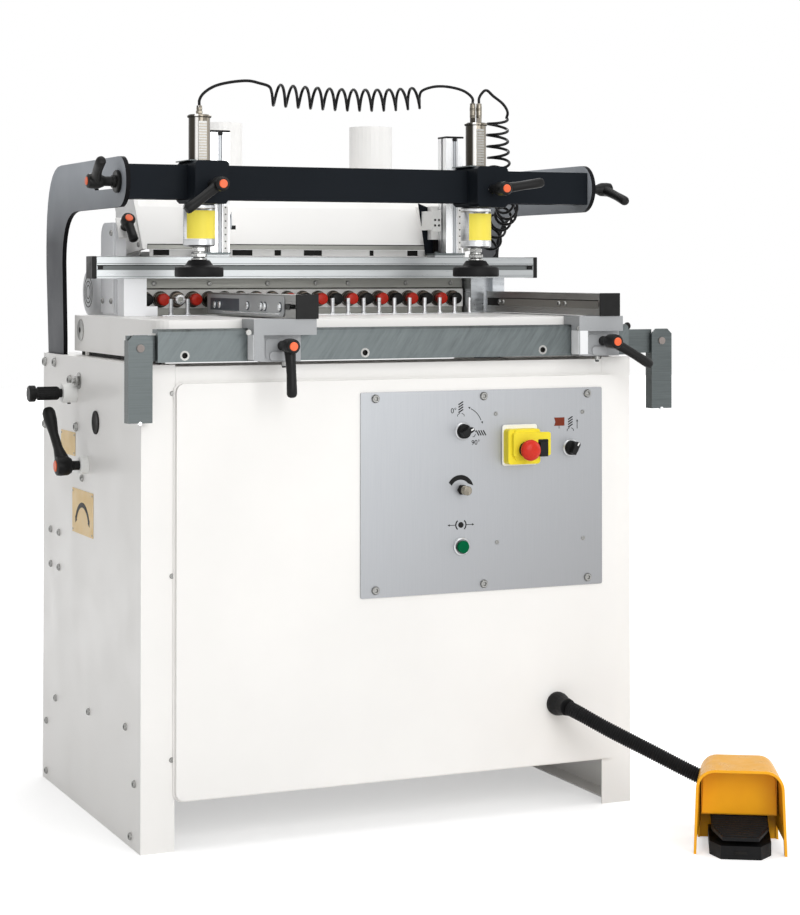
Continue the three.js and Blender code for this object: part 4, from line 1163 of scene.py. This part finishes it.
def head():
    finish_node("spindle_head", "taupe", 0.6)
    finish_node("tilt_cradle", "zinc", 0.8)
    front = Piece("spindle_plate", "head", "hood", "bolt", "dark", bevel=0.3)
    # The plate takes the paler hood enamel: painted light against the shade from the rear fence.
    front.block(-344.5, 344.5, 455.2, 455.9, 898, 933)
    for x in (-300, -190, -72, 28, 96, 220, 318):
        front.use(1).screw("y", (x, 455.8, 945), 4.6, -1, 2)
    front.use(2).block(-344, 344, 455.5, 455.95, 934.4, 936.2)
    front.done()

    rings = Piece("spindle_sleeves", "head", "steel", "sleeve", "nickel", bevel=0)
    caps = Piece("chucks_black", "head", "black", bevel=0)
    reds = Piece("chucks_red", "head", "red", bevel=0)
    drive = Piece("drive_chuck", "spindle", "black", bevel=0)
    bare = [(10.4, 0), (10.4, -24.4), (9, -26), (5, -26), (5, -22), (0, -22)]
    chuck = [
        (9.6, -1), (9.6, -14), (10.8, -15.4), (11.4, -18),
        (11.4, -25.6), (10.4, -27.8), (7.4, -28.7), (0, -28.8),
    ]
    for i in range(1, 22):
        x = (i - 11) * PITCH
        spot = (x, 456, 915)
        rings.use(2).turn("y", spot, [(15.2, -0.2), (15.6, -1), (15.6, -3), (14.8, -4)], 32)
        rings.use(1).turn("y", spot, [(15, -2), (14.6, -9), (13, -11), (10.6, -11), (10.6, 0)], 32)
        rings.use(0).turn("y", spot, [(14.7, -5.4), (15, -6), (15, -7.2), (14.6, -7.8)], 32)
        if i == 3:
            rings.use(0).turn("y", spot, bare, 28)
            continue
        part = drive if i == 11 else (reds if i % 2 == 0 else caps)
        part.turn("y", spot, chuck, 36)
    rings.done()
    caps.done()
    reds.done()
    drive.done("drive_spindle")

    fins = Piece("motor_fins", "cradle", "motor", "dark", bevel=0)
    spot = (0, 600, 928)
    for k in range(34):
        a = 2 * math.pi * (k + 0.5) / 34
        fins.to = Matrix.Translation(spot) @ Matrix.Rotation(a, 4, "X")
        fins.block(-326, -205, -1.1, 1.1, 50, 58.5)
    fins.to = Matrix()
    # The core under the fins is in the dark material: painted shade in the gap behind the end cap and between
    # the fins.
    fins.use(1).rod("x", spot, 50.5, -376, -204, 48)
    cowl = [
        (0, -386.4), (30, -386.4), (44, -385), (52, -378), (55.8, -366),
        (57, -348), (57, -339), (55, -338), (0, -338),
    ]
    fins.use(0).turn("x", spot, cowl, 48)
    fins.turn("x", spot, [(0, -214), (57, -214), (57, -204), (52, -196), (46, -190), (0, -190)], 48)
    fins.block(-320, -240, 572, 628, 980, 1006)
    fins.block(-340, -240, 570, 630, 868.4, 892)
    fins.use(1)
    for r in (12, 20, 28):
        fins.turn("x", spot, [(r, -386.7), (r + 1.6, -386.7), (r + 1.6, -385), (r, -385), (r, -386.7)], 36)
    fins.done("motor")


# ---------------------------------------------------------------- foot pedal
def pedal():
    finish_node("pedal_guard", "guard", 1.2, 3)
    finish_node("pedal_base", "rubber", 2.0, 3)
    place = Matrix.Translation((444, -402, 0)) @ Matrix.Rotation(math.radians(-30.7), 4, "Z")
    tread = Piece("tread_ribs", "pedal_tread", "rubber", bevel=0.6, to=place)
    low = [(-29.5, -31.5), (29.5, -31.5), (47.5, 14), (47.5, 93), (-47.5, 93), (-47.5, 14)]

    def slope(y):
        return 37 + (y + 31) * 20 / 124

    rim = [(x, y, slope(y) - 6) for x, y in low] + [(x, y, slope(y) + 0.2) for x, y in low]
    n = len(low)
    faces = [tuple(range(n)), tuple(range(2 * n - 1, n - 1, -1))]
    faces += [(k, n + k, n + (k + 1) % n, (k + 1) % n) for k in range(n)]
    tread.add(rim, faces)
    for k in range(13):
        y = -26 + 8.6 * k
        half = min(45.5, 27.5 + max(0, y + 31.5) * 0.395)
        z = slope(y)
        rib = [(y, z - 0.5), (y + 0.5, z + 2), (y + 3.6, z + 2.6), (y + 4.4, z + 0.4)]
        tread.plate("x", rib, -half, half)
    tread.done("pedal_tread")
    trim = Piece("pedal_trim", "machine", "guard_rim", "rubber", "guard_flap_painted_light", "dark", bevel=0.6, to=place)
    front = [(77, 0), (73, 108)] + arc(41, 108, 32, 0, 90, 8)
    inner = [(72.5, 0), (68.6, 107)] + arc(41, 108, 27.4, 0, 90, 8)
    front = front + [(-u, v) for u, v in reversed(front)]
    inner = inner + [(-u, v) for u, v in reversed(inner)]
    for k in range(len(front) - 1):
        trim.use(0).plate("y", [front[k], front[k + 1], inner[k + 1], inner[k]], -1.4, 0.4)
    # The flap takes the brighter copy of the guard yellow: painted light against the shade inside the guard.
    right = [(62, 56), (60, 114), (54, 124), (44, 131)]
    trim.use(2).plate("y", right + [(-u, v) for u, v in reversed(right)], 51.5, 54.2)
    trim.use(1).rod("y", (8, 0, 76), 15.5, 118, 133, 28)
    trim.use(3).block(-10, 10, -29, -22, 9, 13)
    trim.done()


# ---------------------------------------------------------------- studio
def stage():
    floor = bpy.data.meshes.new("floor")
    floor.from_pydata([(-14, -14, 0), (14, -14, 0), (14, 14, 0), (-14, 14, 0)], [], [(0, 1, 2, 3)])
    s = Surface("floor_pale", rough=0.9)
    s.colour(s.ramp(s.noise(0.8, 2), (0.3, (0.8, 0.8, 0.8)), (0.7, (0.82, 0.82, 0.82))))
    path = s.add("ShaderNodeLightPath").outputs
    seen = s.math("MAXIMUM", path["Is Glossy Ray"], path["Is Transmission Ray"])
    seen = s.math("MAXIMUM", path["Is Camera Ray"], seen)
    length = s.add("ShaderNodeVectorMath", Vector=s.place)
    length.operation = "LENGTH"
    reach = s.range(length.outputs["Value"], 0.42, 1.0, 0.9, 2.4)
    glow = s.add("ShaderNodeEmission", Strength=s.math("MULTIPLY", seen, reach))
    both = s.add("ShaderNodeAddShader")
    s.tree.links.new(s.shader.outputs[0], both.inputs[0])
    s.tree.links.new(glow.outputs[0], both.inputs[1])
    s.tree.links.new(both.outputs[0], s.tree.nodes["Material Output"].inputs["Surface"])
    floor.materials.append(s.material)
    thing = bpy.data.objects.new("floor", floor)
    bpy.context.scene.collection.objects.link(thing)

    world = bpy.data.worlds.new("studio")
    world.use_nodes = True
    tree = world.node_tree
    background = tree.nodes["Background"]
    path = tree.nodes.new("ShaderNodeLightPath").outputs
    seen = tree.nodes.new("ShaderNodeMath")
    seen.operation = "MAXIMUM"
    tree.links.new(path["Is Camera Ray"], seen.inputs[0])
    tree.links.new(path["Is Glossy Ray"], seen.inputs[1])
    more = tree.nodes.new("ShaderNodeMath")
    more.operation = "MAXIMUM"
    tree.links.new(seen.outputs[0], more.inputs[0])
    tree.links.new(path["Is Transmission Ray"], more.inputs[1])
    strength = tree.nodes.new("ShaderNodeMapRange")
    strength.inputs["To Min"].default_value = 0.46
    strength.inputs["To Max"].default_value = 1.0
    tree.links.new(more.outputs[0], strength.inputs["Value"])
    tree.links.new(strength.outputs[0], background.inputs["Strength"])
    background.inputs["Color"].default_value = (1, 1, 1, 1)
    bpy.context.scene.world = world

    for name, place, aim, size, power in (
        ("key", (200, -3500, 1900), (0, 100, 700), 2.4, 71),
        ("top", (0, 0, 3400), (0, 200, 900), 2.2, 30),
        ("right", (3000, -600, 1800), (0, 200, 700), 1.8, 14),
        ("rear", (900, 3000, 2400), (0, 300, 900), 1.6, 24),
    ):
        light = bpy.data.lights.new(name, "AREA")
        light.size = size
        light.energy = power
        thing = bpy.data.objects.new(name, light)
        thing.location = at(*place)
        thing.rotation_euler = (at(*aim) - at(*place)).to_track_quat("-Z", "Y").to_euler()
        bpy.context.scene.collection.objects.link(thing)
    bpy.context.scene.view_settings.view_transform = "Standard"


cabinet()
end_stops()
controls()
signs()
gantry()
levers()
rear_fence()
side_fences()
hood()
head()
pedal()
stage()
